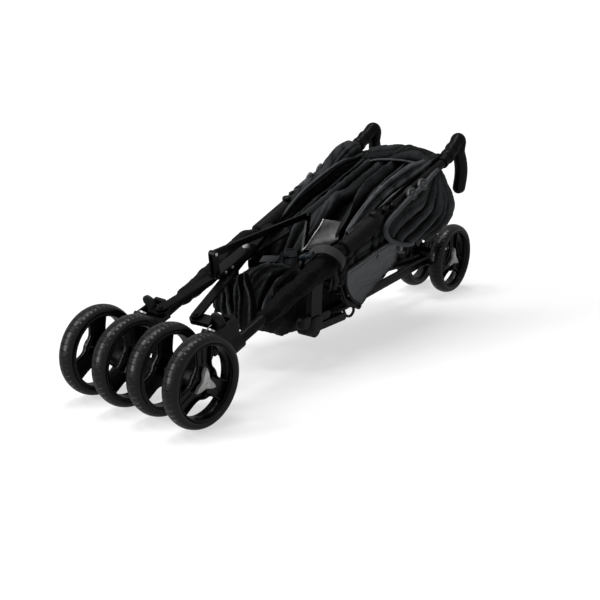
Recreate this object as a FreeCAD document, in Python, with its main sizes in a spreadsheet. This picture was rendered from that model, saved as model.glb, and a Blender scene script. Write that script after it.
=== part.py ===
import FreeCAD, Part
import math
import os
from types import SimpleNamespace

import Sketcher

# Umbrella-fold pet stroller, folded flat and lying on its six wheels, in millimetres.
# X runs across the stroller (its left side is +X), Y along it from the casters (-Y)
# to the handles (+Y), Z up. The origin is on the ground, midway between the wheels.

Vector = FreeCAD.Vector
X_AXIS = Vector(1, 0, 0)
Y_AXIS = Vector(0, 1, 0)
Z_AXIS = Vector(0, 0, 1)
SIDES = (("left", 1), ("right", -1))

doc = FreeCAD.newDocument("PetStroller")

SIZES = (
    # wheels
    ("wheel_diameter", 160, "over the tyre"),
    ("tyre_width", 33, ""),
    ("tyre_height", 14, "tyre section, rim seat to tread"),
    ("tyre_shoulder", 8, "drop from the tread crown to the sidewall corner"),
    ("rim_wall", 4.5, "drum thickness"),
    ("rim_width", 28, "drum length"),
    ("hub_radius", 14, ""),
    ("hub_back", 14, "hub length on the fork side of the wheel's mid-plane"),
    ("hub_front", 8, "hub length on the outer side"),
    ("spoke_root", 12, "half width of a spoke at the hub"),
    ("spoke_end", 15, "half width of a spoke at the drum"),
    ("spoke_thickness", 8, ""),
    ("spoke_set_back", 2, "inner face of the spokes behind the mid-plane"),
    ("cap_tip", 23, "hub cap: radius to its three tips"),
    ("cap_tip_half", 2.5, "half width of a tip"),
    ("cap_curve", 24, "radius of the three hollow edges"),
    ("cap_thickness", 5, ""),
    ("axle_radius", 5, ""),
    ("running_fit", 0.05, "radial clearance of anything that turns on a pin"),
    ("face_gap", 0.3, "between faces that slide past each other"),
    # casters
    ("caster_x", 75.8, "caster centre from the mid-plane"),
    ("twin_spacing", 80.5, "between the mid-planes of twin wheels"),
    ("front_axle_y", -492.6, ""),
    ("trail", 27, "swivel axis to front axle"),
    ("swivel_tilt", 32, "degrees, swivel axis from vertical when folded"),
    ("caster_turn", -3.5, "degrees, both casters about the vertical"),
    ("fork_half", 26, "half length of the fork's axle barrel"),
    ("fork_radius", 14, ""),
    ("fork_web", 22, "fork thickness between the wheels"),
    ("crown_radius", 16, ""),
    ("crown_top", 37.7, "along the swivel axis, from the axle's level"),
    ("crown_height", 14, ""),
    ("barrel_radius", 17, "housing round the stem"),
    ("barrel_height", 46, ""),
    ("stem_head_radius", 9, ""),
    ("stem_head_height", 3.5, ""),
    ("socket_radius", 14.5, "housing round the tube's end"),
    ("socket_length", 44, ""),
    ("housing_web", 24, "thickness of the housing between barrel and socket"),
    ("housing_web_depth", 38, ""),
    ("housing_web_length", 66, ""),
    # main tubes
    ("tube_radius", 10, ""),
    ("tube_wall", 1.5, ""),
    ("tube_front_x", 89.6, ""),
    ("tube_front_y", -403, ""),
    ("tube_front_z", 98.2, ""),
    ("tube_rear_x", 111, "where the tube bends into the handle"),
    ("tube_rear_y", 296, ""),
    ("tube_rear_z", 337, ""),
    ("handle_bend", 60, "bend radius of the tube below the handle"),
    # handles
    ("handle_x", 107, "centre of the handle's elbow"),
    ("handle_y", 362, ""),
    ("handle_z", 373.5, ""),
    ("elbow_radius", 17.5, ""),
    ("handle_collar_radius", 15.5, ""),
    ("handle_collar_length", 12, ""),
    ("handle_neck_radius", 13, ""),
    ("handle_collar_reach", 58, "collar's lower face, from the elbow centre"),
    ("tube_reach", 24, "tube end, from the elbow centre"),
    ("grip_lean", 10, "degrees, grip from vertical"),
    ("grip_start", 22, "grip's upper face, from the elbow centre"),
    ("grip_length", 82, "to the start of its round end"),
    ("grip_radius", 12.5, ""),
    ("peg_radius", 6.5, "handle's core in the grip"),
    ("peg_length", 96, "from the elbow centre"),
    # rear legs
    ("leg_pivot_y", -150, ""),
    ("leg_pivot_z", 80, ""),
    ("leg_pivot_x", 81.2, ""),
    ("leg_radius", 9.5, ""),
    ("leg_wall", 1.3, ""),
    ("leg_bend_y", 400, ""),
    ("leg_end_x", 14.5, ""),
    ("leg_end_y", 478, ""),
    ("leg_bend_radius", 150, ""),
    ("knuckle_radius", 17, ""),
    ("knuckle_width", 18.5, ""),
    ("bracket_half", 17, "half width of the hub bracket's plate"),
    ("bracket_thickness", 12, ""),
    ("clamp_radius", 15, "clamps round a main tube"),
    ("bracket_clamp_length", 52, ""),
    ("striker_radius", 3.5, ""),
    ("striker_back", 98, "striker behind the leg pivot"),
    ("rear_axle_y", 495, ""),
    ("rear_wheel_x", 43, ""),
    ("rear_housing_radius", 19, ""),
    ("rear_housing_inner", 2, "inner face from the mid-plane"),
    ("rear_housing_width", 23, ""),
    ("rear_socket_length", 42, ""),
    ("rear_socket_half", 13.5, "half height"),
    # small levers
    ("lever_half", 8.5, "half width of the swivel lock levers"),
    ("lever_length", 40, ""),
    ("lever_thickness", 7, ""),
    ("trunnion_radius", 3, ""),
    ("trunnion_half", 13.5, "half length of a lever's trunnion"),
    ("ear_thickness", 3.5, ""),
    ("ear_radius", 6.5, ""),
    ("pedal_half", 7, ""),
    ("pedal_length", 34, ""),
    ("pedal_trunnion_half", 10.5, ""),
    ("latch_y", 30, "latch pivot, behind the hub"),
    ("latch_x", 82, "inner face of the latch plate"),
    ("latch_half", 8, ""),
    ("latch_thickness", 4, ""),
    ("latch_pin_radius", 3, ""),
    ("latch_boss_radius", 7.5, ""),
    ("latch_lift", 25, "degrees, latch held above its striker"),
    ("latch_play", 0.8, "round the striker in the latch's notch"),
    # front brace
    ("brace_rise", 55, "lower face of the front arms above the tube axes"),
    ("arm_half", 9, "half width of the brace arms"),
    ("arm_thickness", 5, ""),
    ("arm_pin_radius", 4, ""),
    ("arm_front_x", 40, ""),
    ("arm_front_y", -415, ""),
    ("front_hub_y", -225, ""),
    ("arm_tail", 95, "front arms behind the hub"),
    ("mount_radius", 13, "brackets under the arms' front ends"),
    ("mount_thickness", 8, ""),
    ("hub_half", 12, "half width of the front hub"),
    ("hub_depth", 9, ""),
    ("hub_front_reach", 98, "front hub ahead of its bolt"),
    ("hub_rear_reach", 14, ""),
    ("bolt_head", 2.5, ""),
    ("ear_y", -326, "stay pivot"),
    ("ear_z", 238, ""),
    ("stay_rear_y", -43, ""),
    ("stay_rear_z", 261, ""),
    ("link_foot_y", -66, ""),
    ("link_foot_z", 134, ""),
    ("stay_half", 6, ""),
    ("stay_thickness", 5, ""),
    ("link_half", 5.5, ""),
    # rear brace
    ("rear_arm_y", 130, ""),
    ("rear_hub_y", 330, ""),
    ("rear_arm_z", 97.3, "lower face of the rear arms"),
    ("clip_radius", 11, ""),
    ("rear_hub_radius", 14, ""),
    ("rear_hub_height", 10, ""),
    # canopy
    ("canopy_y", 40, "canopy pivot"),
    ("canopy_rise", 23, "canopy pivot above the tube axis"),
    ("canopy_clamp_length", 34, ""),
    ("knob_radius", 12, ""),
    ("knob_inner", 91, "inner face of the knob from the mid-plane"),
    ("knob_outer", 118, ""),
    ("bow_thickness", 4, ""),
    ("bow_half", 6, ""),
    ("bow_length", 300, ""),
    ("canopy_inner", 62, "fabric's inner face from the mid-plane"),
    ("canopy_outer", 122, ""),
    ("canopy_front", 36, ""),
    ("canopy_length", 320, ""),
    ("canopy_floor", 184, ""),
    ("canopy_height", 154, ""),
    # seat and basket
    ("cloth_gap", 0.3, "fabric solids from the hard parts"),
    ("seat_half", 61.7, ""),
    ("seat_sleeve_reach", 100, "half width of the seat's sleeves, out to the tubes"),
    ("seat_sleeve_length", 42, ""),
    ("seat_sleeve_half", 7, "half height"),
    ("seat_front", -25, ""),
    ("seat_rear", 330, ""),
    ("seat_over", 22, "ridge above the tube axes"),
    ("seat_under", 62, "keel below the tube axes"),
    ("basket_half", 60, ""),
    ("basket_front", -205, ""),
    ("basket_rear", 60, ""),
    ("basket_floor", 46, ""),
    ("basket_top", 160, "front rim; the rear is lower"),
    ("basket_tab_y", -62, ""),
    ("basket_tab_length", 24, ""),
    ("basket_tab_half", 6, "half height"),
    ("basket_tab_reach", 68, "half width over both tabs, out to the legs"),
    ("panel_thickness", 4, ""),
    ("panel_x", 80, "side panels: their lower front corner"),
    ("panel_front", 3, ""),
    ("panel_floor", 97, ""),
    ("panel_length", 172, ""),
    ("panel_height", 60.2, ""),
    ("panel_climb", 9.5, "degrees, along the stroller"),
    ("panel_flare", 17, "degrees, outwards"),
)

sheet = doc.addObject("Spreadsheet::Sheet", "Sizes")
for row, (alias, number, note) in enumerate(SIZES, start=1):
    sheet.set(f"A{row}", alias)
    sheet.set(f"B{row}", str(number))
    sheet.set(f"C{row}", note)
    sheet.setAlias(f"B{row}", alias)
doc.recompute()


class Size:
    """A number together with the sheet formula that gives it."""

    def __init__(self, value, formula):
        self.value = float(value)
        self.formula = formula

    def combine(self, other, sign, value):
        return Size(value, f"({self.formula} {sign} {as_size(other).formula})")

    def __add__(self, other):
        return self.combine(other, "+", self.value + as_size(other).value)

    def __sub__(self, other):
        return self.combine(other, "-", self.value - as_size(other).value)

    def __mul__(self, other):
        return self.combine(other, "*", self.value * as_size(other).value)

    __rmul__ = __mul__

    def __truediv__(self, other):
        return self.combine(other, "/", self.value / as_size(other).value)

    def __neg__(self):
        return Size(-self.value, f"(-1 * {self.formula})")

    def __float__(self):
        return self.value


def as_size(number):
    """A Size as it is, and a bare number as a Size that no cell drives."""
    return number if isinstance(number, Size) else Size(number, repr(float(number)))


def length_of(vector):
    """A vector's length as a Size."""
    return as_size(vector.Length)


s = SimpleNamespace(**{alias: Size(number, f"Sizes.{alias}") for alias, number, _ in SIZES})
n = SimpleNamespace(**{alias: float(number) for alias, number, _ in SIZES})


# ---------------------------------------------------------------- building blocks

def bind(feature, **sizes):
    """Bind properties of a feature to sheet formulas."""
    for prop, size in sizes.items():
        size = as_size(size)
        setattr(feature, prop, size.value)
        feature.setExpression(prop, size.formula)


def along(origin, direction):
    """Placement that turns a piece's Z to a direction."""
    return FreeCAD.Placement(origin, FreeCAD.Rotation(Z_AXIS, direction))


def laid(origin, x_direction, z_direction):
    """Placement from the directions of a piece's own X and Z."""
    y_direction = z_direction.cross(x_direction)
    return FreeCAD.Placement(origin, FreeCAD.Rotation(x_direction, y_direction, z_direction, "ZXY"))


def cylinder(name, radius, height, placement):
    feature = doc.addObject("Part::Cylinder", name)
    bind(feature, Radius=radius, Height=height)
    feature.Placement = placement
    return feature


def cone(name, radius_1, radius_2, height, placement):
    feature = doc.addObject("Part::Cone", name)
    bind(feature, Radius1=radius_1, Radius2=radius_2, Height=height)
    feature.Placement = placement
    return feature


def ball(name, radius, centre):
    feature = doc.addObject("Part::Sphere", name)
    bind(feature, Radius=radius)
    feature.Placement = FreeCAD.Placement(centre, FreeCAD.Rotation())
    return feature


def box(name, length, width, height, placement):
    feature = doc.addObject("Part::Box", name)
    bind(feature, Length=length, Width=width, Height=height)
    feature.Placement = placement
    return feature


def fuse(name, shapes):
    feature = doc.addObject("Part::MultiFuse", name)
    feature.Shapes = shapes
    feature.Refine = True
    return feature


def cut(name, base, tools):
    feature = doc.addObject("Part::Cut", name)
    feature.Base = base
    feature.Tool = tools[0] if len(tools) == 1 else fuse(f"{name}_tools", tools)
    return feature


def group(name, pieces):
    feature = doc.addObject("Part::Compound", name)
    feature.Links = pieces
    return feature


def sketch_on(body, role, name, offset=None):
    """A sketch on one of the body's own origin planes, lifted by offset."""
    plane = next(item for item in body.Origin.OriginFeatures if item.Role == role)
    sketch = body.newObject("Sketcher::SketchObject", name)
    sketch.AttachmentSupport = (plane, "")
    sketch.MapMode = "FlatFace"
    if offset is not None:
        sketch.AttachmentOffset = FreeCAD.Placement(Vector(0, 0, offset.value), FreeCAD.Rotation())
        sketch.setExpression("AttachmentOffset.Base.z", offset.formula)
    return sketch


def dimension(sketch, kind, size, *where):
    """A driving dimension of a sketch, bound to the sheet."""
    index = sketch.addConstraint(Sketcher.Constraint(kind, *where, size.value))
    sketch.renameConstraint(index, f"size{index}")
    sketch.setExpression(f"Constraints.size{index}", size.formula)


def fix_point(sketch, geometry, end, x, y):
    """Hold a point of a sketch at (x, y)."""
    for kind, size, axis in (("DistanceX", as_size(x), -2), ("DistanceY", as_size(y), -1)):
        if size.value == 0:
            sketch.addConstraint(Sketcher.Constraint("PointOnObject", geometry, end, axis))
        else:
            dimension(sketch, kind, size, -1, 1, geometry, end)


def polygon(sketch, corners):
    """A closed outline of straight edges through corners given as sizes."""
    points = [Vector(float(as_size(x)), float(as_size(y)), 0) for x, y in corners]
    count = len(points)
    for index, point in enumerate(points):
        sketch.addGeometry(Part.LineSegment(point, points[(index + 1) % count]), False)
    for index, (x, y) in enumerate(corners):
        sketch.addConstraint(Sketcher.Constraint("Coincident", (index - 1) % count, 2, index, 1))
        fix_point(sketch, index, 1, x, y)


def slot(sketch, length, radius):
    """A slot outline from the sketch's origin along its X."""
    end = Vector(length.value, 0, 0)
    quarter = math.pi / 2
    start_round = Part.ArcOfCircle(Part.Circle(Vector(), Z_AXIS, radius.value), quarter, 3 * quarter)
    end_round = Part.ArcOfCircle(Part.Circle(end, Z_AXIS, radius.value), -quarter, quarter)
    low, high = Vector(0, -radius.value, 0), Vector(0, radius.value, 0)
    sketch.addGeometry(start_round, False)
    sketch.addGeometry(Part.LineSegment(low, low + end), False)
    sketch.addGeometry(end_round, False)
    sketch.addGeometry(Part.LineSegment(high + end, high), False)
    sketch.addConstraint(Sketcher.Constraint("Coincident", 0, 3, -1, 1))
    sketch.addConstraint(Sketcher.Constraint("PointOnObject", 2, 3, -1))
    for first, first_end, second, second_end in ((0, 2, 1, 1), (1, 2, 2, 1), (2, 2, 3, 1), (3, 2, 0, 1)):
        sketch.addConstraint(Sketcher.Constraint("Tangent", first, first_end, second, second_end))
    sketch.addConstraint(Sketcher.Constraint("Equal", 0, 2))
    dimension(sketch, "DistanceX", length, -1, 1, 2, 3)
    dimension(sketch, "Radius", radius, 0)


def pad(body, sketch, length, symmetric=False):
    feature = body.newObject("PartDesign::Pad", "Pad")
    feature.Profile = sketch
    bind(feature, Length=length)
    if symmetric:
        feature.SideType = "Symmetric"
    return feature


def bore(body, role, holes):
    """Round holes (x, y, radius) right through a body."""
    sketch = sketch_on(body, role, "Holes")
    for index, (x, y, radius) in enumerate(holes):
        centre = Vector(float(as_size(x)), float(as_size(y)), 0)
        sketch.addGeometry(Part.Circle(centre, Z_AXIS, radius.value), False)
        fix_point(sketch, index, 3, x, y)
        dimension(sketch, "Radius", radius, index)
    pocket = body.newObject("PartDesign::Pocket", "Pocket")
    pocket.Profile = sketch
    pocket.Type = "ThroughAll"
    pocket.SideType = "Symmetric"


def bar(name, length, half_width, thickness, holes, placement):
    """A flat bar with round ends: holes are (distance along it, radius)."""
    body = doc.addObject("PartDesign::Body", name)
    sketch = sketch_on(body, "XY_Plane", "Outline")
    slot(sketch, length, half_width)
    pad(body, sketch, thickness, symmetric=True)
    if holes:
        bore(body, "XY_Plane", [(distance, 0, radius) for distance, radius in holes])
    body.Placement = placement
    return body


def turned(name, corners, placement):
    """A piece turned about its own Z: corners are (radius, height)."""
    body = doc.addObject("PartDesign::Body", name)
    sketch = sketch_on(body, "XZ_Plane", "Section")
    polygon(sketch, corners)
    feature = body.newObject("PartDesign::Revolution", "Revolution")
    feature.Profile = sketch
    feature.ReferenceAxis = (sketch, ["V_Axis"])
    feature.Angle = 360
    body.Placement = placement
    return body


def swept(name, points, radii, radius):
    """A round bar of a radius along straight runs joined by tangent arcs."""
    edges = []
    start = points[0]
    for corner, following, bend in zip(points[1:-1], points[2:], radii):
        run_in = (corner - start).normalize()
        run_out = (following - corner).normalize()
        half_turn = run_in.getAngle(run_out) / 2
        reach = bend * math.tan(half_turn)
        arc_start = corner - run_in * reach
        arc_end = corner + run_out * reach
        inward = (run_out - run_in).normalize()
        arc_middle = corner + inward * (bend / math.cos(half_turn) - bend)
        edges.append(Part.LineSegment(start, arc_start).toShape())
        edges.append(Part.Arc(arc_start, arc_middle, arc_end).toShape())
        start = arc_end
    edges.append(Part.LineSegment(start, points[-1]).toShape())
    path = doc.addObject("Part::Feature", f"{name}_path")
    path.Shape = Part.Wire(edges)
    ring = doc.addObject("Part::Circle", f"{name}_ring")
    bind(ring, Radius=radius)
    ring.Placement = along(points[0], points[1] - points[0])
    feature = doc.addObject("Part::Sweep", name)
    feature.Sections = [ring]
    feature.Spine = (path, [f"Edge{index + 1}" for index in range(len(edges))])
    feature.Solid = True
    feature.Frenet = False
    return feature


def extruded(name, corners, x_start, x_length):
    """A prism along X: corners are (y, z)."""
    body = doc.addObject("PartDesign::Body", name)
    sketch = sketch_on(body, "XY_Plane", "Side")
    polygon(sketch, corners)
    pad(body, sketch, x_length)
    body.Placement = laid(Vector(x_start, 0, 0), Y_AXIS, X_AXIS)
    return body


# ---------------------------------------------------------------- where things are

TUBE_FRONT = Vector(n.tube_front_x, n.tube_front_y, n.tube_front_z)
TUBE_REAR = Vector(n.tube_rear_x, n.tube_rear_y, n.tube_rear_z)
WHEEL_RADIUS = n.wheel_diameter / 2
CASTER_TURN = FreeCAD.Rotation(Z_AXIS, n.caster_turn)
CROSS = CASTER_TURN.multVec(X_AXIS)
LEAN = math.radians(n.swivel_tilt)
SWIVEL = CASTER_TURN.multVec(Vector(0, math.sin(LEAN), math.cos(LEAN)))
SWIVEL_NORMAL = CASTER_TURN.multVec(Vector(0, math.cos(LEAN), -math.sin(LEAN)))
SLOPE = (n.tube_rear_z - n.tube_front_z) / (n.tube_rear_y - n.tube_front_y)
BRACE_RUN = Vector(0, 1, SLOPE).normalize()
BRACE_NORMAL = Vector(0, -BRACE_RUN.z, BRACE_RUN.y)


def mirrored(point, side):
    return Vector(point.x * side, point.y, point.z)


def tube_at(y, side):
    """Point of a main tube's axis at a distance along the stroller."""
    share = (y - TUBE_FRONT.y) / (TUBE_REAR.y - TUBE_FRONT.y)
    return mirrored(TUBE_FRONT + (TUBE_REAR - TUBE_FRONT) * share, side)


def tube_run(side):
    return (mirrored(TUBE_REAR, side) - mirrored(TUBE_FRONT, side)).normalize()


def tube_height(y):
    return tube_at(y, 1).z


def leg_x(y):
    """Distance of a rear leg's axis from the mid-plane."""
    share = (y - n.leg_pivot_y) / (n.leg_bend_y - n.leg_pivot_y)
    return n.leg_pivot_x + (n.leg_end_x - n.leg_pivot_x) * min(share, 1.0)


def caster_centre(side):
    return Vector(side * n.caster_x, n.front_axle_y, WHEEL_RADIUS)


def stem_foot(side):
    """Foot of the swivel axis, level with the front axle along that axis."""
    return caster_centre(side) + SWIVEL_NORMAL * n.trail


def brace_point(x, y, height):
    """Point over the tubes' plane at a height square to it, above (x, y)'s foot."""
    foot = Vector(x, y, tube_height(y) + n.brace_rise)
    return foot + BRACE_NORMAL * height


# ---------------------------------------------------------------- wheels

def tyre(name, placement):
    """A tyre with a crowned tread."""
    radius = s.wheel_diameter / 2
    seat = radius - s.tyre_height
    half = s.tyre_width / 2
    shoulder = radius - s.tyre_shoulder
    body = doc.addObject("PartDesign::Body", name)
    sketch = sketch_on(body, "XZ_Plane", "Section")
    corners = [(seat, -half), (shoulder, -half), (shoulder, half), (seat, half)]
    crown = (half * half + s.tyre_shoulder * s.tyre_shoulder) / (s.tyre_shoulder * 2)
    points = [Vector(x.value, y.value, 0) for x, y in corners]
    tread = Vector(radius.value, 0, 0)
    sketch.addGeometry(Part.LineSegment(points[0], points[1]), False)
    sketch.addGeometry(Part.Arc(points[1], tread, points[2]), False)
    sketch.addGeometry(Part.LineSegment(points[2], points[3]), False)
    sketch.addGeometry(Part.LineSegment(points[3], points[0]), False)
    for first, second in ((0, 1), (1, 2), (2, 3), (3, 0)):
        sketch.addConstraint(Sketcher.Constraint("Coincident", first, 2, second, 1))
    for index, (x, y) in zip((0, 1, 2, 3), corners):
        fix_point(sketch, index, 1, x, y)
    dimension(sketch, "Radius", crown, 1)
    feature = body.newObject("PartDesign::Revolution", "Revolution")
    feature.Profile = sketch
    feature.ReferenceAxis = (sketch, ["V_Axis"])
    feature.Angle = 360
    body.Placement = placement
    return body


def rim(name, placement):
    """Drum, hub and three wide spokes; the piece's Z points outwards."""
    outer = s.wheel_diameter / 2 - s.tyre_height
    inner = outer - s.rim_wall
    half = s.rim_width / 2
    bore_radius = s.axle_radius + s.running_fit
    body = turned(name, [(inner, -half), (outer, -half), (outer, half), (inner, half)], placement)
    section = sketch_on(body, "XZ_Plane", "HubSection")
    polygon(section, [(bore_radius, -s.hub_back), (s.hub_radius, -s.hub_back),
                      (s.hub_radius, s.hub_front), (bore_radius, s.hub_front)])
    spoke = sketch_on(body, "XY_Plane", "Spoke", offset=-s.spoke_set_back)
    overlap = s.rim_wall / 2
    polygon(spoke, [(s.hub_radius - overlap, -s.spoke_root), (inner + overlap, -s.spoke_end),
                    (inner + overlap, s.spoke_end), (s.hub_radius - overlap, s.spoke_root)])
    spoke_pad = pad(body, spoke, s.spoke_thickness)
    pattern = body.newObject("PartDesign::PolarPattern", "Spokes")
    pattern.Originals = [spoke_pad]
    pattern.Axis = (spoke, ["N_Axis"])
    pattern.Angle = 360
    pattern.Occurrences = 3
    body.Tip = pattern
    hub = body.newObject("PartDesign::Revolution", "Hub")
    hub.Profile = section
    hub.ReferenceAxis = (section, ["V_Axis"])
    hub.Angle = 360
    body.Tip = hub
    bore(body, "XY_Plane", [(0, 0, bore_radius)])
    return body


def hub_cap(name, placement):
    """A flat three-pointed cap with hollow edges."""
    body = doc.addObject("PartDesign::Body", name)
    sketch = sketch_on(body, "XY_Plane", "Star", offset=s.hub_front)
    corners = []
    for tip in range(3):
        angle = tip * 2 * math.pi / 3
        for hand in (-1, 1):
            corners.append((s.cap_tip * math.cos(angle) - s.cap_tip_half * hand * math.sin(angle),
                            s.cap_tip * math.sin(angle) + s.cap_tip_half * hand * math.cos(angle)))
    points = [Vector(x.value, y.value, 0) for x, y in corners]
    for index, point in enumerate(points):
        following = points[(index + 1) % len(points)]
        if index % 2 == 0:
            sketch.addGeometry(Part.LineSegment(point, following), False)
            continue
        chord = (following - point).Length
        sagitta = n.cap_curve - math.sqrt(n.cap_curve ** 2 - (chord / 2) ** 2)
        middle = (point + following) * 0.5
        inward = Vector(middle).normalize() * -sagitta
        sketch.addGeometry(Part.Arc(point, middle + inward, following), False)
    for index, (x, y) in enumerate(corners):
        hollow = index % 2 == 1
        fix_point(sketch, index, 2 if hollow else 1, x, y)
        edge, end = (index, 2) if hollow else (index, 1)
        before = (index - 1) % len(corners)
        before_end = 2 if hollow else 1
        sketch.addConstraint(Sketcher.Constraint("Coincident", before, before_end, edge, end))
        if hollow:
            dimension(sketch, "Radius", s.cap_curve, index)
    pad(body, sketch, s.cap_thickness)
    body.Placement = placement
    return body


def wheel(prefix, centre, outward):
    """Tyre, rim and cap of one wheel; outward is the way its cap faces."""
    placement = laid(centre, Z_AXIS, outward)
    return [tyre(f"{prefix}_tyre", placement), rim(f"{prefix}_rim", placement),
            hub_cap(f"{prefix}_hub_cap", placement)]


# ---------------------------------------------------------------- levers and ears

def lever(name, length, half_width, thickness, trunnion_half, placement):
    """A flat lever that turns on its own trunnion; its Z is its thickness."""
    plate = bar(f"{name}_plate", length, half_width, thickness, [], placement)
    across = placement.Rotation.multVec(Y_AXIS)
    start = placement.Base - across * trunnion_half.value
    trunnion = cylinder(f"{name}_trunnion", s.trunnion_radius, trunnion_half * 2, along(start, across))
    return fuse(name, [plate, trunnion])


def ears(name, pivot, half_gap, foot, across=X_AXIS):
    """Two ears that hold a lever's trunnion, each reaching down to foot."""
    pieces = []
    reach = foot - pivot
    for hand in (-1, 1):
        centre = pivot + across * (hand * (half_gap.value + n.ear_thickness / 2))
        place = laid(centre, Vector(reach).normalize(), across)
        pieces.append(bar(f"{name}_ear", length_of(reach), s.ear_radius, s.ear_thickness, [], place))
    return pieces


def trunnion_hole(name, pivot, half_length, across=X_AXIS):
    start = pivot - across * half_length.value
    return cylinder(name, s.trunnion_radius + s.running_fit, half_length * 2, along(start, across))


# ---------------------------------------------------------------- side by side parts

def swivel_lock_pivot(side):
    up = n.crown_top + n.face_gap + n.barrel_height - n.ear_radius
    back = n.barrel_radius + 1
    return stem_foot(side) + SWIVEL * up + SWIVEL_NORMAL * back


def main_tube(label, side):
    elbow = mirrored(Vector(n.handle_x, n.handle_y, n.handle_z), side)
    bend = mirrored(TUBE_REAR, side)
    end = elbow - (elbow - bend).normalize() * n.tube_reach
    points = [mirrored(TUBE_FRONT, side), bend, end]
    outside = swept(f"{label}_outside", points, [n.handle_bend], s.tube_radius)
    inside = swept(f"{label}_inside", points, [n.handle_bend], s.tube_radius - s.tube_wall)
    return cut(label, outside, [inside]), outside


def handle_parts(side_name, side, tube_outside):
    """Moulded handle with its collar, elbow and core, and the grip over the core."""
    elbow = mirrored(Vector(n.handle_x, n.handle_y, n.handle_z), side)
    run = (elbow - mirrored(TUBE_REAR, side)).normalize()
    lean = math.radians(n.grip_lean)
    down = Vector(0, math.sin(lean), -math.cos(lean))
    collar_start = elbow - run * n.handle_collar_reach
    neck_length = s.handle_collar_reach - s.handle_collar_length
    neck_start = collar_start + run * n.handle_collar_length
    collar = cylinder(f"{side_name}_collar", s.handle_collar_radius, s.handle_collar_length,
                      along(collar_start, run))
    neck = cone(f"{side_name}_neck", s.handle_neck_radius, s.elbow_radius - 0.5, neck_length,
                along(neck_start, run))
    bend = ball(f"{side_name}_elbow", s.elbow_radius, elbow)
    drop = cone(f"{side_name}_drop", s.elbow_radius - 0.5, s.grip_radius + 0.5, s.grip_start,
                along(elbow, down))
    peg = cylinder(f"{side_name}_peg", s.peg_radius, s.peg_length, along(elbow, down))
    handle_body = fuse(f"{side_name}_handle_body", [collar, neck, bend, drop, peg])
    handle = cut(f"{side_name}_handle", handle_body, [tube_outside])
    grip_top = elbow + down * n.grip_start
    sleeve = cylinder(f"{side_name}_sleeve", s.grip_radius, s.grip_length, along(grip_top, down))
    end = ball(f"{side_name}_grip_end", s.grip_radius, grip_top + down * n.grip_length)
    core = cylinder(f"{side_name}_grip_core", s.peg_radius, s.peg_length, along(elbow, down))
    grip = cut(f"{side_name}_grip", fuse(f"{side_name}_grip_body", [sleeve, end]), [core])
    return [handle, grip]


def arm_mount(side_name, side, top):
    """Round pad under a front arm's end, on a web from the caster housing."""
    centre = brace_point(side * n.arm_front_x, n.arm_front_y, top)
    disc = cylinder(f"{side_name}_mount_pad", s.mount_radius, s.mount_thickness,
                    along(centre - BRACE_NORMAL * n.mount_thickness, BRACE_NORMAL))
    web_start = centre - BRACE_NORMAL * n.mount_thickness - BRACE_RUN * (n.mount_radius - 1)
    web_length = s.caster_x - s.arm_front_x
    width = s.mount_radius * 2 - 2
    place = laid(web_start, Vector(side, 0, 0), BRACE_NORMAL)
    if side < 0:
        place = laid(web_start + BRACE_RUN * width.value, Vector(side, 0, 0), BRACE_NORMAL)
    return [disc, box(f"{side_name}_mount_web", web_length, width, s.mount_thickness, place)]


def caster_housing(side_name, side, mount_top):
    """Fixed housing that joins the stem, the tube end, the lock lever and the brace mount."""
    foot = stem_foot(side)
    lower = foot + SWIVEL * (n.crown_top + n.face_gap)
    barrel = cylinder(f"{side_name}_barrel", s.barrel_radius, s.barrel_height, along(lower, SWIVEL))
    run = tube_run(side)
    socket_start = mirrored(TUBE_FRONT, side) - run * 4
    socket = cylinder(f"{side_name}_socket", s.socket_radius, s.socket_length, along(socket_start, run))
    web_normal = CASTER_TURN.multVec(BRACE_NORMAL)
    web_corner = lower + SWIVEL * (n.barrel_height / 2) - web_normal * (n.housing_web_depth / 2)
    web_place = laid(web_corner - CROSS * (n.housing_web / 2 - 2 * side), CROSS, web_normal)
    web = box(f"{side_name}_web", s.housing_web, s.housing_web_length, s.housing_web_depth, web_place)
    pivot = swivel_lock_pivot(side)
    foot_of_ears = pivot + CASTER_TURN.multVec(Vector(0, 6, -22))
    lever_ears = ears(f"{side_name}_lock", pivot, s.lever_half + s.face_gap, foot_of_ears, CROSS)
    body = fuse(f"{side_name}_housing_body",
                [barrel, socket, web] + lever_ears + arm_mount(side_name, side, mount_top))
    stem_hole = cylinder(f"{side_name}_stem_hole", s.axle_radius + s.running_fit, s.barrel_height * 2,
                         along(lower - SWIVEL * (n.barrel_height / 2), SWIVEL))
    tube_hole = cylinder(f"{side_name}_tube_hole", s.tube_radius, s.socket_length * 2,
                         along(mirrored(TUBE_FRONT, side), run))
    room_half = s.lever_half + s.face_gap
    room_drop = room_half + s.face_gap * 2
    back = CASTER_TURN.multVec(Y_AXIS)
    room_corner = pivot - CROSS * room_half.value - back * n.lever_half - Z_AXIS * room_drop.value
    lever_room = box(f"{side_name}_lever_room", room_half * 2, s.lever_half * 4,
                     s.lever_length + room_drop, FreeCAD.Placement(room_corner, CASTER_TURN))
    pin_hole = trunnion_hole(f"{side_name}_lock_hole", pivot, s.trunnion_half + 1, CROSS)
    crown_room = cylinder(f"{side_name}_crown_room", s.crown_radius * 2, s.crown_height * 2,
                          along(lower - SWIVEL * (n.crown_height * 2), SWIVEL))
    head_room = cylinder(f"{side_name}_head_room", s.stem_head_radius + s.face_gap * 2,
                         s.stem_head_height * 4,
                         along(lower + SWIVEL * n.barrel_height, SWIVEL))
    return cut(f"{side_name}_caster_housing", body,
               [stem_hole, tube_hole, lever_room, pin_hole, crown_room, head_room])


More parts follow.
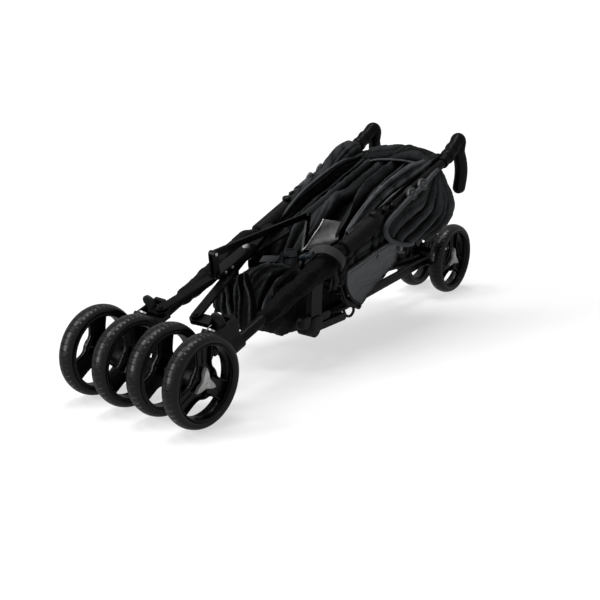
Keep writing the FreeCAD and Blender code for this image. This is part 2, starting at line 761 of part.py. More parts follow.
def caster_moving(side_name, side):
    """Fork, with the stem and axle that are pressed into it."""
    foot = stem_foot(side)
    axle_centre = caster_centre(side)
    barrel = cylinder(f"{side_name}_fork_barrel", s.fork_radius, s.fork_half * 2,
                      along(axle_centre - CROSS * n.fork_half, CROSS))
    crown_base = foot + SWIVEL * (n.crown_top - n.crown_height)
    crown = cylinder(f"{side_name}_crown", s.crown_radius, s.crown_height, along(crown_base, SWIVEL))
    reach = crown_base + SWIVEL * (n.crown_height / 2 - 1) - axle_centre
    web = bar(f"{side_name}_fork_web", length_of(reach), s.fork_radius, s.fork_web, [],
              laid(axle_centre, Vector(reach).normalize(), CROSS))
    stem_start = foot + SWIVEL * (n.crown_top - n.crown_height + 2)
    head_base = n.crown_top + n.face_gap * 2 + n.barrel_height
    stem_length = Size(head_base - (n.crown_top - n.crown_height + 2),
                       (s.face_gap * 2 + s.barrel_height + s.crown_height - 2).formula)
    stem = cylinder(f"{side_name}_stem", s.axle_radius, stem_length, along(stem_start, SWIVEL))
    head = cylinder(f"{side_name}_stem_head", s.stem_head_radius, s.stem_head_height,
                    along(foot + SWIVEL * head_base, SWIVEL))
    axle_half = s.twin_spacing / 2 + s.hub_front
    axle = cylinder(f"{side_name}_front_axle", s.axle_radius, axle_half * 2,
                    along(axle_centre - CROSS * axle_half.value, CROSS))
    pins = group(f"{side_name}_caster_pins", [fuse(f"{side_name}_stem_pin", [stem, head]), axle])
    holes = [cylinder(f"{side_name}_crown_face", s.crown_radius * 2, s.crown_height * 2,
                      along(foot + SWIVEL * n.crown_top, SWIVEL)),
             cylinder(f"{side_name}_axle_hole", s.axle_radius, s.fork_half * 2 + 2,
                      along(axle_centre - CROSS * (n.fork_half + 1), CROSS)),
             cylinder(f"{side_name}_fork_stem_hole", s.axle_radius, s.crown_height * 2,
                      along(stem_start, SWIVEL))]
    fork = cut(f"{side_name}_caster_fork", fuse(f"{side_name}_fork_body", [barrel, crown, web]), holes)
    return [fork, pins]


def swivel_lock(side_name, side):
    pivot = swivel_lock_pivot(side)
    lean = CASTER_TURN.multVec(Vector(0, 0.18, 1)).normalize()
    return lever(f"{side_name}_swivel_lock_lever", s.lever_length, s.lever_half, s.lever_thickness,
                 s.trunnion_half, laid(pivot, lean, lean.cross(CROSS)))


def hub_bracket(side_name, side):
    """Clamp on the main tube with a plate that drops to the leg pivot, and the pivot pin."""
    run = tube_run(side)
    top = tube_at(n.leg_pivot_y, side)
    half_clamp = n.bracket_clamp_length / 2
    clamp = cylinder(f"{side_name}_bracket_clamp", s.clamp_radius, s.bracket_clamp_length,
                     along(top - run * half_clamp, run))
    foot = Vector(top.x, n.leg_pivot_y, n.leg_pivot_z)
    drop = top.z - foot.z
    plate = bar(f"{side_name}_bracket_plate", as_size(drop), s.bracket_half, s.bracket_thickness, [],
                laid(foot, Z_AXIS, X_AXIS))
    striker_start = foot + Y_AXIS * n.striker_back
    striker_length = as_size(foot.x - n.latch_x + 1)
    shelf = bar(f"{side_name}_striker_shelf", s.striker_back, s.striker_radius * 2, s.bracket_thickness, [],
                laid(foot, Y_AXIS, X_AXIS))
    solids = [clamp, plate]
    if side > 0:
        striker = cylinder(f"{side_name}_striker", s.striker_radius, striker_length,
                           along(striker_start, Vector(-side, 0, 0)))
        solids += [shelf, striker]
    body = fuse(f"{side_name}_bracket_body", solids)
    tube_hole = cylinder(f"{side_name}_bracket_tube_hole", s.tube_radius, s.bracket_clamp_length + 4,
                         along(top - run * (half_clamp + 2), run))
    pin_inner = n.leg_pivot_x - n.knuckle_width / 2 - 1.5
    pin_outer = top.x * side + n.bracket_thickness / 2
    pin_length = as_size(pin_outer - pin_inner)
    place = along(Vector(side * pin_inner, n.leg_pivot_y, n.leg_pivot_z), Vector(side, 0, 0))
    pin_hole = cylinder(f"{side_name}_pivot_hole", s.axle_radius, pin_length + 1, place)
    pin = cylinder(f"{side_name}_pivot_pin", s.axle_radius, pin_length, place)
    bracket = cut(f"{side_name}_bracket_cut", body, [tube_hole, pin_hole])
    return group(f"{side_name}_hub_bracket", [bracket, pin])


def rear_leg(side_name, side, clip_top):
    """Leg tube with its knuckle and the clip that carries a rear brace arm."""
    pivot = mirrored(Vector(n.leg_pivot_x, n.leg_pivot_y, n.leg_pivot_z), side)
    bend = mirrored(Vector(n.leg_end_x, n.leg_bend_y, n.leg_pivot_z), side)
    end = mirrored(Vector(n.leg_end_x, n.leg_end_y, n.leg_pivot_z), side)
    start = pivot + (bend - pivot).normalize() * (n.knuckle_radius - 4)
    points = [start, bend, end]
    outside = swept(f"{side_name}_leg_outside", points, [n.leg_bend_radius], s.leg_radius)
    inside = swept(f"{side_name}_leg_inside", points, [n.leg_bend_radius], s.leg_radius - s.leg_wall)
    tube = cut(f"{side_name}_leg_tube", outside, [inside])
    half = n.knuckle_width / 2
    block = cylinder(f"{side_name}_knuckle_block", s.knuckle_radius, s.knuckle_width,
                     along(pivot - X_AXIS * half, X_AXIS))
    pin_hole = cylinder(f"{side_name}_knuckle_hole", s.axle_radius + s.running_fit, s.knuckle_width + 2,
                        along(pivot - X_AXIS * (half + 1), X_AXIS))
    knuckle = cut(f"{side_name}_knuckle", block, [outside, pin_hole])
    clip_place = along(Vector(side * leg_x(n.rear_arm_y), n.rear_arm_y, n.leg_pivot_z), Z_AXIS)
    clip_body = cylinder(f"{side_name}_clip_body", s.clip_radius, clip_top - s.leg_pivot_z, clip_place)
    clip = cut(f"{side_name}_clip", clip_body, [outside])
    pieces = [tube, knuckle, clip]
    if side > 0:
        boss_start = Vector(leg_x(n.latch_y), n.latch_y, n.leg_pivot_z)
        boss_length = n.latch_x - n.face_gap - boss_start.x
        boss = cylinder("latch_boss_body", s.latch_boss_radius, boss_length, along(boss_start, X_AXIS))
        latch_pin = cylinder("latch_pin", s.latch_pin_radius, s.latch_thickness + s.face_gap + 3,
                             along(boss_start + X_AXIS * boss_length, X_AXIS))
        pieces.append(cut("latch_boss", fuse("latch_boss_whole", [boss, latch_pin]), [outside]))
    return group(f"{side_name}_rear_leg", pieces), outside


def pedal_pivot(side):
    middle = n.rear_housing_inner + n.rear_housing_width / 2
    return Vector(side * middle, n.leg_end_y - 4, WHEEL_RADIUS + n.rear_housing_radius + 5)


def axle_housing(side_name, side, leg_outside):
    """Housing on the leg's end that holds the rear axle and the brake pedal."""
    inner = side * n.rear_housing_inner
    direction = Vector(side, 0, 0)
    drum = cylinder(f"{side_name}_brake_drum", s.rear_housing_radius, s.rear_housing_width,
                    along(Vector(inner, n.rear_axle_y, WHEEL_RADIUS), direction))
    low_x = inner if side > 0 else inner - n.rear_housing_width
    corner = Vector(low_x, n.rear_axle_y - n.rear_socket_length, n.leg_pivot_z - n.rear_socket_half)
    socket = box(f"{side_name}_leg_socket", s.rear_housing_width, s.rear_socket_length,
                 s.rear_socket_half * 2, along(corner, Z_AXIS))
    pivot = pedal_pivot(side)
    pedal_ears = ears(f"{side_name}_pedal", pivot, s.pedal_half + s.face_gap, pivot + Vector(0, 4, -18))
    body = fuse(f"{side_name}_axle_housing_body", [drum, socket] + pedal_ears)
    axle_start = Vector(side * (n.rear_housing_inner + 3), n.rear_axle_y, WHEEL_RADIUS)
    axle_length = s.rear_wheel_x + s.hub_front - s.rear_housing_inner - 3
    axle_place = along(axle_start, direction)
    axle_hole = cylinder(f"{side_name}_rear_axle_hole", s.axle_radius, axle_length, axle_place)
    pin_hole = trunnion_hole(f"{side_name}_pedal_hole", pivot, s.pedal_trunnion_half + 1)
    housing = cut(f"{side_name}_axle_housing", body, [axle_hole, pin_hole, leg_outside])
    axle = cylinder(f"{side_name}_rear_axle", s.axle_radius, axle_length, axle_place)
    return [housing, axle]


def brake_pedal(side_name, side):
    rise = Vector(0, 0.93, 0.37).normalize()
    return lever(f"{side_name}_brake_pedal", s.pedal_length, s.pedal_half, s.lever_thickness - 1,
                 s.pedal_trunnion_half, laid(pedal_pivot(side), rise, rise.cross(X_AXIS)))


def fold_latch():
    """Hook plate on the left leg, its notch just above the striker of the left hub bracket."""
    pivot = Vector(n.latch_x + n.latch_thickness / 2, n.latch_y, n.leg_pivot_z)
    reach = n.latch_y - n.leg_pivot_y - n.striker_back
    lift = math.radians(n.latch_lift)
    run = Vector(0, -math.cos(lift), math.sin(lift))
    length = Size(reach, (s.latch_y - s.leg_pivot_y - s.striker_back).formula)
    plate = bar("latch_plate", length, s.latch_half, s.latch_thickness,
                [(0, s.latch_pin_radius + s.running_fit)], laid(pivot, run, X_AXIS))
    seat = pivot + run * reach
    side_way = X_AXIS.cross(run)
    notch_start = seat - X_AXIS * n.latch_thickness
    notch_radius = s.striker_radius + s.latch_play
    notch = cylinder("latch_notch", notch_radius, s.latch_thickness * 2, along(notch_start, X_AXIS))
    mouth_corner = notch_start - run * notch_radius.value
    mouth = box("latch_mouth", s.latch_thickness * 2, notch_radius * 2, s.latch_half * 2,
                laid(mouth_corner, X_AXIS, side_way * (1 if side_way.z < 0 else -1)))
    return cut("fold_latch", plate, [notch, mouth])


def canopy_pivot(side):
    base = tube_at(n.canopy_y, side)
    return Vector(base.x, base.y, base.z + n.canopy_rise)


def canopy_clamp(side_name, side):
    """Clamp on the main tube with the knob that the canopy bow turns on."""
    run = tube_run(side)
    base = tube_at(n.canopy_y, side)
    half = n.canopy_clamp_length / 2
    ring = cylinder(f"{side_name}_canopy_ring", s.clamp_radius, s.canopy_clamp_length,
                    along(base - run * half, run))
    pivot = canopy_pivot(side)
    knob = cylinder(f"{side_name}_knob", s.knob_radius, s.knob_outer - s.knob_inner,
                    along(Vector(side * n.knob_inner, pivot.y, pivot.z), Vector(side, 0, 0)))
    stub_length = s.bow_thickness + s.face_gap + 2
    stub = cylinder(f"{side_name}_bow_stub", s.axle_radius, stub_length + 2,
                    along(Vector(side * (n.knob_inner - stub_length.value), pivot.y, pivot.z),
                          Vector(side, 0, 0)))
    body = fuse(f"{side_name}_canopy_clamp_body", [ring, knob, stub])
    tube_hole = cylinder(f"{side_name}_canopy_tube_hole", s.tube_radius, s.canopy_clamp_length + 4,
                         along(base - run * (half + 2), run))
    return cut(f"{side_name}_canopy_clamp", body, [tube_hole])


def bow_centre(side):
    """Where the middle of a bow's thickness meets the canopy's pivot."""
    pivot = canopy_pivot(side)
    return Vector(side * (n.knob_inner - n.face_gap - n.bow_thickness / 2), pivot.y, pivot.z)


def canopy_bow(side_name, side):
    return bar(f"{side_name}_canopy_bow", s.bow_length, s.bow_half, s.bow_thickness,
               [(0, s.axle_radius + s.running_fit)], laid(bow_centre(side), BRACE_RUN, X_AXIS))


# Side view of a gathered canopy half, as shares of its length and height.
CANOPY_OUTLINE = ((0, 0.247), (0.081, 0.052), (0.325, 0), (0.669, 0), (0.881, 0.052),
                  (1, 0.273), (0.956, 0.597), (0.825, 0.896), (0.706, 1), (0.075, 0.545))


def canopy_fabric(side_name, side):
    """Gathered canopy over and outside the main tube, as one solid with room for the hard parts."""
    corners = [(s.canopy_front + along_it * s.canopy_length, s.canopy_floor + up * s.canopy_height)
               for along_it, up in CANOPY_OUTLINE]
    width = s.canopy_outer - s.canopy_inner
    x_start = n.canopy_inner if side > 0 else -n.canopy_outer
    body = extruded(f"{side_name}_canopy_bunch", corners, x_start, width)
    run = tube_run(side)
    gap = s.cloth_gap
    base = tube_at(n.canopy_y, side)
    pivot = canopy_pivot(side)
    elbow = mirrored(Vector(n.handle_x, n.handle_y, n.handle_z), side)
    bend_start = mirrored(TUBE_REAR, side)
    upper_run = (elbow - bend_start).normalize()
    half = n.canopy_clamp_length / 2
    bow_corner = (bow_centre(side) - X_AXIS * (n.bow_thickness / 2 + n.cloth_gap)
                  - BRACE_RUN * (n.bow_half * 2) - BRACE_NORMAL * (n.bow_half + n.cloth_gap))
    rooms = [
        cylinder(f"{side_name}_room_tube", s.tube_radius + gap, s.canopy_length + 36,
                 along(base - run * 60, run)),
        cylinder(f"{side_name}_room_handle", s.elbow_radius + gap, s.handle_collar_reach + 60,
                 along(bend_start - upper_run * 20, upper_run)),
        cylinder(f"{side_name}_room_clamp", s.clamp_radius + gap, s.canopy_clamp_length + gap * 2,
                 along(base - run * (half + n.cloth_gap), run)),
        cylinder(f"{side_name}_room_knob", s.knob_radius + gap, s.knob_outer * 2,
                 along(Vector(0, pivot.y, pivot.z), Vector(side, 0, 0))),
        box(f"{side_name}_room_bow", s.bow_thickness + gap * 2, s.bow_length + s.bow_half * 4,
            (s.bow_half + gap) * 2, laid(bow_corner, X_AXIS, BRACE_NORMAL)),
    ]
    return cut(f"{side_name}_canopy_fabric", body, rooms)


# ---------------------------------------------------------------- front and rear braces

LOWER_ARM = 0.0
UPPER_ARM = n.arm_thickness + n.face_gap
HUB_LEVEL = UPPER_ARM + n.arm_thickness + n.face_gap


def front_arm(side_name, side, level):
    """One arm of the front brace, from its mount over the hub bolt to its free rear end."""
    middle = level + n.arm_thickness / 2
    front = brace_point(side * n.arm_front_x, n.arm_front_y, middle)
    hub = brace_point(0, n.front_hub_y, middle)
    reach = hub - front
    holes = [(length_of(reach), s.arm_pin_radius + s.running_fit)]
    plate = bar(f"{side_name}_front_arm_bar", length_of(reach) + s.arm_tail, s.arm_half, s.arm_thickness,
                holes, laid(front, Vector(reach).normalize(), BRACE_NORMAL))
    rivet = cylinder(f"{side_name}_arm_rivet", s.arm_pin_radius, s.arm_thickness / 2 + 2,
                     along(front, BRACE_NORMAL))
    return fuse(f"{side_name}_front_arm", [plate, rivet])


def front_hub():
    """Hub bracket over the crossing arms, with the upright that carries the stay."""
    hub = brace_point(0, n.front_hub_y, HUB_LEVEL)
    run_front = -s.hub_front_reach
    corners = [(run_front, 0), (s.hub_rear_reach, 0), (s.hub_rear_reach, s.hub_depth),
               (run_front, s.hub_depth)]
    body = doc.addObject("PartDesign::Body", "hub_block")
    sketch = sketch_on(body, "XY_Plane", "Side")
    polygon(sketch, corners)
    pad(body, sketch, s.hub_half * 2, symmetric=True)
    body.Placement = laid(hub, BRACE_RUN, X_AXIS)
    ear_pivot = Vector(0, n.ear_y, n.ear_z)
    base_y = n.ear_y + 12
    base = brace_point(0, base_y, HUB_LEVEL + n.hub_depth / 2)
    reach = ear_pivot - base
    cheeks = []
    for hand in (-1, 1):
        offset = n.stay_thickness / 2 + n.face_gap + n.ear_thickness / 2
        place = laid(base + X_AXIS * (hand * offset), Vector(reach).normalize(), X_AXIS)
        cheeks.append(bar("hub_cheek", length_of(reach), s.stay_half, s.ear_thickness, [], place))
    whole = fuse("front_hub_body", [body] + cheeks)
    half = s.hub_half
    pin_hole = cylinder("stay_pin_hole", s.trunnion_radius, half * 2,
                        along(ear_pivot - X_AXIS * n.hub_half, X_AXIS))
    bolt_hole = cylinder("hub_bolt_hole", s.arm_pin_radius, s.hub_depth * 2,
                         along(hub - BRACE_NORMAL * 2, BRACE_NORMAL))
    rivet_holes = [cylinder("hub_rivet_hole", s.trunnion_radius, half * 4,
                            along(rivet_centre(index) - X_AXIS * (n.hub_half * 2), X_AXIS))
                   for index in range(2)]
    return cut("front_hub", whole, [pin_hole, bolt_hole] + rivet_holes)


def rivet_centre(index):
    """Cross rivets of the front hub, one behind the other."""
    return brace_point(0, n.ear_y + 26 + 18 * index, HUB_LEVEL + n.hub_depth / 2)


def front_hub_rivets():
    """Centre bolt, stay pin and two cross rivets of the front hub."""
    under = brace_point(0, n.front_hub_y, LOWER_ARM - n.face_gap)
    bolt_length = HUB_LEVEL + n.hub_depth + n.face_gap
    bolt = fuse("hub_bolt", [
        cylinder("hub_bolt_shank", s.arm_pin_radius, bolt_length, along(under, BRACE_NORMAL)),
        cylinder("hub_bolt_head", s.arm_half - 2, s.bolt_head,
                 along(under + BRACE_NORMAL * bolt_length, BRACE_NORMAL)),
        cylinder("hub_bolt_foot", s.arm_half - 2, s.bolt_head,
                 along(under - BRACE_NORMAL * n.bolt_head, BRACE_NORMAL))])
    half = n.stay_thickness / 2 + n.face_gap + n.ear_thickness + 2
    stay_pin = cylinder("stay_pin", s.trunnion_radius, half * 2,
                        along(Vector(-half, n.ear_y, n.ear_z), X_AXIS))
    rivets = []
    for index in range(2):
        start = rivet_centre(index) - X_AXIS * (n.hub_half + 1.5)
        rivets.append(cylinder("cross_rivet", s.trunnion_radius, (s.hub_half + 1.5) * 2,
                               along(start, X_AXIS)))
    return group("front_hub_rivets", [bolt, stay_pin] + rivets)


def lock_stay():
    """Long flat link from the front hub's upright, with a pin for the short link at its rear."""
    front = Vector(0, n.ear_y, n.ear_z)
    rear = Vector(0, n.stay_rear_y, n.stay_rear_z)
    reach = rear - front
    plate = bar("stay_bar", length_of(reach), s.stay_half, s.stay_thickness,
                [(0, s.trunnion_radius + s.running_fit)],
                laid(front, Vector(reach).normalize(), X_AXIS))
    pin = cylinder("stay_rear_pin", s.trunnion_radius, s.stay_thickness * 2 + s.face_gap + 1,
                   along(rear - X_AXIS * (n.stay_thickness / 2 - 1), X_AXIS))
    return fuse("lock_stay", [plate, pin])


def lock_link():
    """Short link that hangs from the stay."""
    offset = n.stay_thickness + n.face_gap
    top = Vector(offset, n.stay_rear_y, n.stay_rear_z)
    foot = Vector(offset, n.link_foot_y, n.link_foot_z)
    reach = foot - top
    return bar("lock_link", length_of(reach), s.link_half, s.stay_thickness,
               [(0, s.trunnion_radius + s.running_fit)], laid(top, Vector(reach).normalize(), X_AXIS))


def rear_arm(side_name, side, level):
    """One arm of the rear brace, from the rear hub to the clip on its leg."""
    middle = n.rear_arm_z + level + n.arm_thickness / 2
    hub = Vector(0, n.rear_hub_y, middle)
    front = Vector(side * leg_x(n.rear_arm_y), n.rear_arm_y, middle)
    reach = front - hub
    plate = bar(f"{side_name}_rear_arm_bar", length_of(reach), s.arm_half, s.arm_thickness,
                [(0, s.arm_pin_radius + s.running_fit)], laid(hub, Vector(reach).normalize(), Z_AXIS))
    rivet = cylinder(f"{side_name}_rear_arm_rivet", s.arm_pin_radius, s.arm_thickness / 2 + 2,
                     along(front, Z_AXIS))
    return fuse(f"{side_name}_rear_arm", [plate, rivet])


def rear_hub():
    """Round hub over the rear arms, with its pin and the pin's foot."""
    top_z = n.rear_arm_z + HUB_LEVEL
    disc = cylinder("rear_hub_disc", s.rear_hub_radius, s.rear_hub_height,
                    along(Vector(0, n.rear_hub_y, top_z), Z_AXIS))
    foot_z = n.rear_arm_z - n.face_gap - n.bolt_head
    place = along(Vector(0, n.rear_hub_y, foot_z), Z_AXIS)
    shank = cylinder("rear_hub_shank", s.arm_pin_radius, top_z - foot_z + 1, place)
    foot = cylinder("rear_hub_foot", s.arm_half - 2, s.bolt_head, place)
    return fuse("rear_hub", [disc, shank, foot])


# ---------------------------------------------------------------- seat and basket

def mirrored_outline(half):
    """A closed outline from its +X half, given from the top down with both ends on the middle."""
    return half + [(-x, y) for x, y in reversed(half[1:-1])]


def seat_fabric():
    """Seat sling folded lengthwise between the main tubes, with a sleeve round each tube."""
    body = doc.addObject("PartDesign::Body", "seat_fold")
    sketch = sketch_on(body, "XY_Plane", "Section")
    half = s.seat_half
    edge = s.seat_over * 0.27
    shoulder, bilge = s.seat_over * 0.6, -s.seat_under * 0.7
    right_side = [(as_size(0), s.seat_over), (half / 2, shoulder), (half, edge),
                  (half * 0.9, -edge * 2.3), (half / 2, bilge), (as_size(0), -s.seat_under)]
    polygon(sketch, mirrored_outline(right_side))
    pad(body, sketch, (s.seat_rear - s.seat_front) / BRACE_RUN.y)
    origin = Vector(0, n.seat_front, tube_height(n.seat_front))
    body.Placement = laid(origin, X_AXIS * -1, BRACE_RUN)
    corner = origin - X_AXIS * n.seat_sleeve_reach - BRACE_NORMAL * n.seat_sleeve_half
    sleeve = box("seat_sleeve", s.seat_sleeve_reach * 2, s.seat_sleeve_length, s.seat_sleeve_half * 2,
                 laid(corner, X_AXIS, BRACE_NORMAL))
    rooms = [cylinder("seat_tube_room", s.tube_radius + s.cloth_gap, s.seat_sleeve_length * 3,
                      along(tube_at(n.seat_front - n.seat_sleeve_length, side), tube_run(side)))
             for side_name, side in SIDES]
    return cut("seat_fabric", fuse("seat_whole", [body, sleeve]), rooms)


# Side view of the slack basket, as shares of its length and height.
BASKET_OUTLINE = ((0, 0.42), (0.11, 0.08), (0.33, 0), (0.62, 0.1), (0.93, 0.36),
                  (1, 0.52), (0.95, 0.62), (0.52, 0.64), (0.42, 1), (0.05, 1))


def basket_fabric():
    """Slack basket with a tab round each leg, and a flat pocket outside each leg."""
    length, height = s.basket_rear - s.basket_front, s.basket_top - s.basket_floor
    corners = [(s.basket_front + along_it * length, s.basket_floor + up * height)
               for along_it, up in BASKET_OUTLINE]
    bag = extruded("basket_bag", corners, -n.basket_half, s.basket_half * 2)
    tabs = box("basket_tabs", s.basket_tab_reach * 2, s.basket_tab_length, s.basket_tab_half * 2,
               along(Vector(-n.basket_tab_reach, n.basket_tab_y, n.leg_pivot_z - n.basket_tab_half), Z_AXIS))
    rooms = []
    for side_name, side in SIDES:
        start = Vector(side * leg_x(n.basket_front), n.basket_front, n.leg_pivot_z)
        end = Vector(side * leg_x(n.leg_bend_y), n.leg_bend_y, n.leg_pivot_z)
        rooms.append(cylinder(f"{side_name}_leg_room", s.leg_radius + s.cloth_gap, length_of(end - start),
                              along(start, end - start)))
    pieces = [cut("basket_whole", fuse("basket_body", [bag, tabs]), rooms)]
    climb = math.radians(n.panel_climb)
    run = Vector(0, math.cos(climb), math.sin(climb))
    for side_name, side in SIDES:
        corner = Vector(side * n.panel_x, n.panel_front, n.panel_floor)
        up = FreeCAD.Rotation(run, side * n.panel_flare).multVec(Vector(0, -run.z, run.y))
        if side < 0:
            corner = corner - up.cross(run) * n.panel_thickness
        pieces.append(box(f"{side_name}_side_panel", s.panel_length, s.panel_thickness, s.panel_height,
                          laid(corner, run, up)))
    return group("basket_fabric", pieces)


# ---------------------------------------------------------------- the whole stroller

parts = []
half_twin = n.twin_spacing / 2
for side_name, side in SIDES:
    mount_top = (LOWER_ARM if side < 0 else UPPER_ARM) - n.face_gap
    arm_level = LOWER_ARM if side < 0 else UPPER_ARM
    outward = CROSS * side
    parts += wheel(f"{side_name}_outer_front", caster_centre(side) + outward * half_twin, outward)
    parts += wheel(f"{side_name}_inner_front", caster_centre(side) - outward * half_twin, outward * -1)
    rear_centre = Vector(side * n.rear_wheel_x, n.rear_axle_y, WHEEL_RADIUS)
    parts += wheel(f"{side_name}_rear", rear_centre, X_AXIS * side)
    tube, tube_outside = main_tube(f"{side_name}_main_tube", side)
    parts.append(tube)
    parts += handle_parts(side_name, side, tube_outside)
    parts.append(caster_housing(side_name, side, mount_top))
    parts += caster_moving(side_name, side)
    parts.append(swivel_lock(side_name, side))
    parts.append(hub_bracket(side_name, side))
    clip_top = s.rear_arm_z - s.face_gap
    if side > 0:
        clip_top = clip_top + s.arm_thickness + s.face_gap
    leg, leg_outside = rear_leg(side_name, side, clip_top)
    parts.append(leg)
    parts += axle_housing(side_name, side, leg_outside)
    parts.append(brake_pedal(side_name, side))
    parts.append(front_arm(side_name, side, arm_level))
    parts.append(rear_arm(side_name, side, arm_level))
    parts.append(canopy_clamp(side_name, side))
    parts.append(canopy_bow(side_name, side))
    parts.append(canopy_fabric(side_name, side))
parts += [front_hub(), front_hub_rivets(), rear_hub(), lock_stay(), lock_link(), fold_latch(),
          seat_fabric(), basket_fabric()]

doc.recompute()

failed = [item.Name for item in doc.Objects if "Invalid" in item.State or "Error" in item.State]
if failed:
    raise RuntimeError(f"features failed: {failed}")

os.makedirs("parts", exist_ok=True)
broken = [item.Label for item in parts if item.Shape.isNull() or not item.Shape.isValid()]
if broken:
    raise RuntimeError(f"no valid shape: {broken}")
for item in parts:
    item.Shape.exportStep(f"parts/{item.Label}.step")
print(len(parts), "parts written")
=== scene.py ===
"""Folded pet stroller: detailed pieces, finishes, light and camera over the CAD frame."""
import logging
import math
from dataclasses import dataclass, field
from enum import Enum
from typing import Any, Callable, Optional, Sequence

import bmesh
import bpy
from mathutils import Matrix, Vector, noise


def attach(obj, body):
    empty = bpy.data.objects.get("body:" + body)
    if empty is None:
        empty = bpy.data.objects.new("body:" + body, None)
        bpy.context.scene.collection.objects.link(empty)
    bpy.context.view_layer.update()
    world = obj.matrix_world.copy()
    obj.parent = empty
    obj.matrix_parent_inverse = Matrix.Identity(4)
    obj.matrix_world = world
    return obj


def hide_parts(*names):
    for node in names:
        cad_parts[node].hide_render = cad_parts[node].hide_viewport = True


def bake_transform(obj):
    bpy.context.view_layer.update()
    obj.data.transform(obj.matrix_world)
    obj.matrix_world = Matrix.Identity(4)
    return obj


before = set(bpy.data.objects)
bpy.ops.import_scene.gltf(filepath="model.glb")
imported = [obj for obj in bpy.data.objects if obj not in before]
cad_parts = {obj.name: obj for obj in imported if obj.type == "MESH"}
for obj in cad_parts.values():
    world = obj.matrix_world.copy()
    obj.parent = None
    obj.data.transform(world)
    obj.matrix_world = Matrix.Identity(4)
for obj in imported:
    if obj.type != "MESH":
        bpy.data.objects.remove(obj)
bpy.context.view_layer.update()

log = logging.getLogger("stroller")

SIDES = (("left", 1.0), ("right", -1.0))
MM = 0.001
# Edges sharper than this stay sharp, in degrees.
SHARP = 40.0
UP = Vector((0, 0, 1))
ACROSS = Vector((1, 0, 0))

Triple = tuple[float, float, float]
Line = Sequence[Vector]
Grid = Sequence[Sequence[Vector]]


# ------------------------------------------------------------------ shader expressions

def operator(operation: str, swapped: bool = False) -> Callable[["Signal", Any], "Signal"]:
    """An arithmetic method for signals.

    Args:
        operation: The Math node's operation.
        swapped: The signal is the second operand.

    Returns:
        The method.
    """
    def method(self: "Signal", other: Any) -> "Signal":
        """Add the Math node."""
        return self.combine(operation, *((other, self) if swapped else (self, other)))
    return method


class Signal:
    """An output of a shader node that takes part in arithmetic."""

    def __init__(self, graph: "Graph", socket: Any) -> None:
        """Keep the graph and the output socket."""
        self.graph = graph
        self.socket = socket

    def combine(self, operation: str, *values: Any) -> "Signal":
        """Add a Math node."""
        return self.graph.node("ShaderNodeMath", dict(enumerate(values)), operation=operation)

    __add__, __radd__ = operator("ADD"), operator("ADD", True)
    __sub__, __rsub__ = operator("SUBTRACT"), operator("SUBTRACT", True)
    __mul__, __rmul__ = operator("MULTIPLY"), operator("MULTIPLY", True)
    __pow__, __gt__ = operator("POWER"), operator("GREATER_THAN")

    def ripple(self, pitch: float, depth: float = 0.5) -> "Signal":
        """Sine wave along a signal in metres, depth high on each side of zero."""
        return (self * (math.tau / pitch)).sine() * depth

    def sine(self) -> "Signal":
        """Sine."""
        return self.combine("SINE", self)

    def ramp(self, low: float, high: float, to_low: float = 0.0, to_high: float = 1.0) -> "Signal":
        """Map a range to another, smoothly and without going past it."""
        return self.graph.node("ShaderNodeMapRange", {"Value": self, "From Min": low, "From Max": high,
                                                      "To Min": to_low, "To Max": to_high},
                               interpolation_type="SMOOTHSTEP")


class Tree:
    """A node tree that is built from expressions."""

    def __init__(self, tree: bpy.types.NodeTree) -> None:
        """Keep the tree."""
        self.tree = tree

    def node(self, kind: str, sockets: Optional[dict] = None, output: Any = 0, **settings: Any) -> Any:
        """Add a node.

        Args:
            kind: The node's type.
            sockets: Signals, sockets, numbers or colours for its inputs, by name or index.
            output: Which output to hand back.
            **settings: Properties, set before the inputs.

        Returns:
            The chosen output, or None where the node has none.
        """
        item = self.tree.nodes.new(kind)
        for key, value in settings.items():
            setattr(item, key, value)
        for key, value in (sockets or {}).items():
            socket = item.inputs[key]
            if isinstance(value, Signal):
                value = value.socket
            if isinstance(value, bpy.types.NodeSocket):
                self.tree.links.new(value, socket)
            elif isinstance(value, tuple):
                socket.default_value = (*value, 1.0)
            else:
                socket.default_value = value
        return item.outputs[output] if item.outputs else None


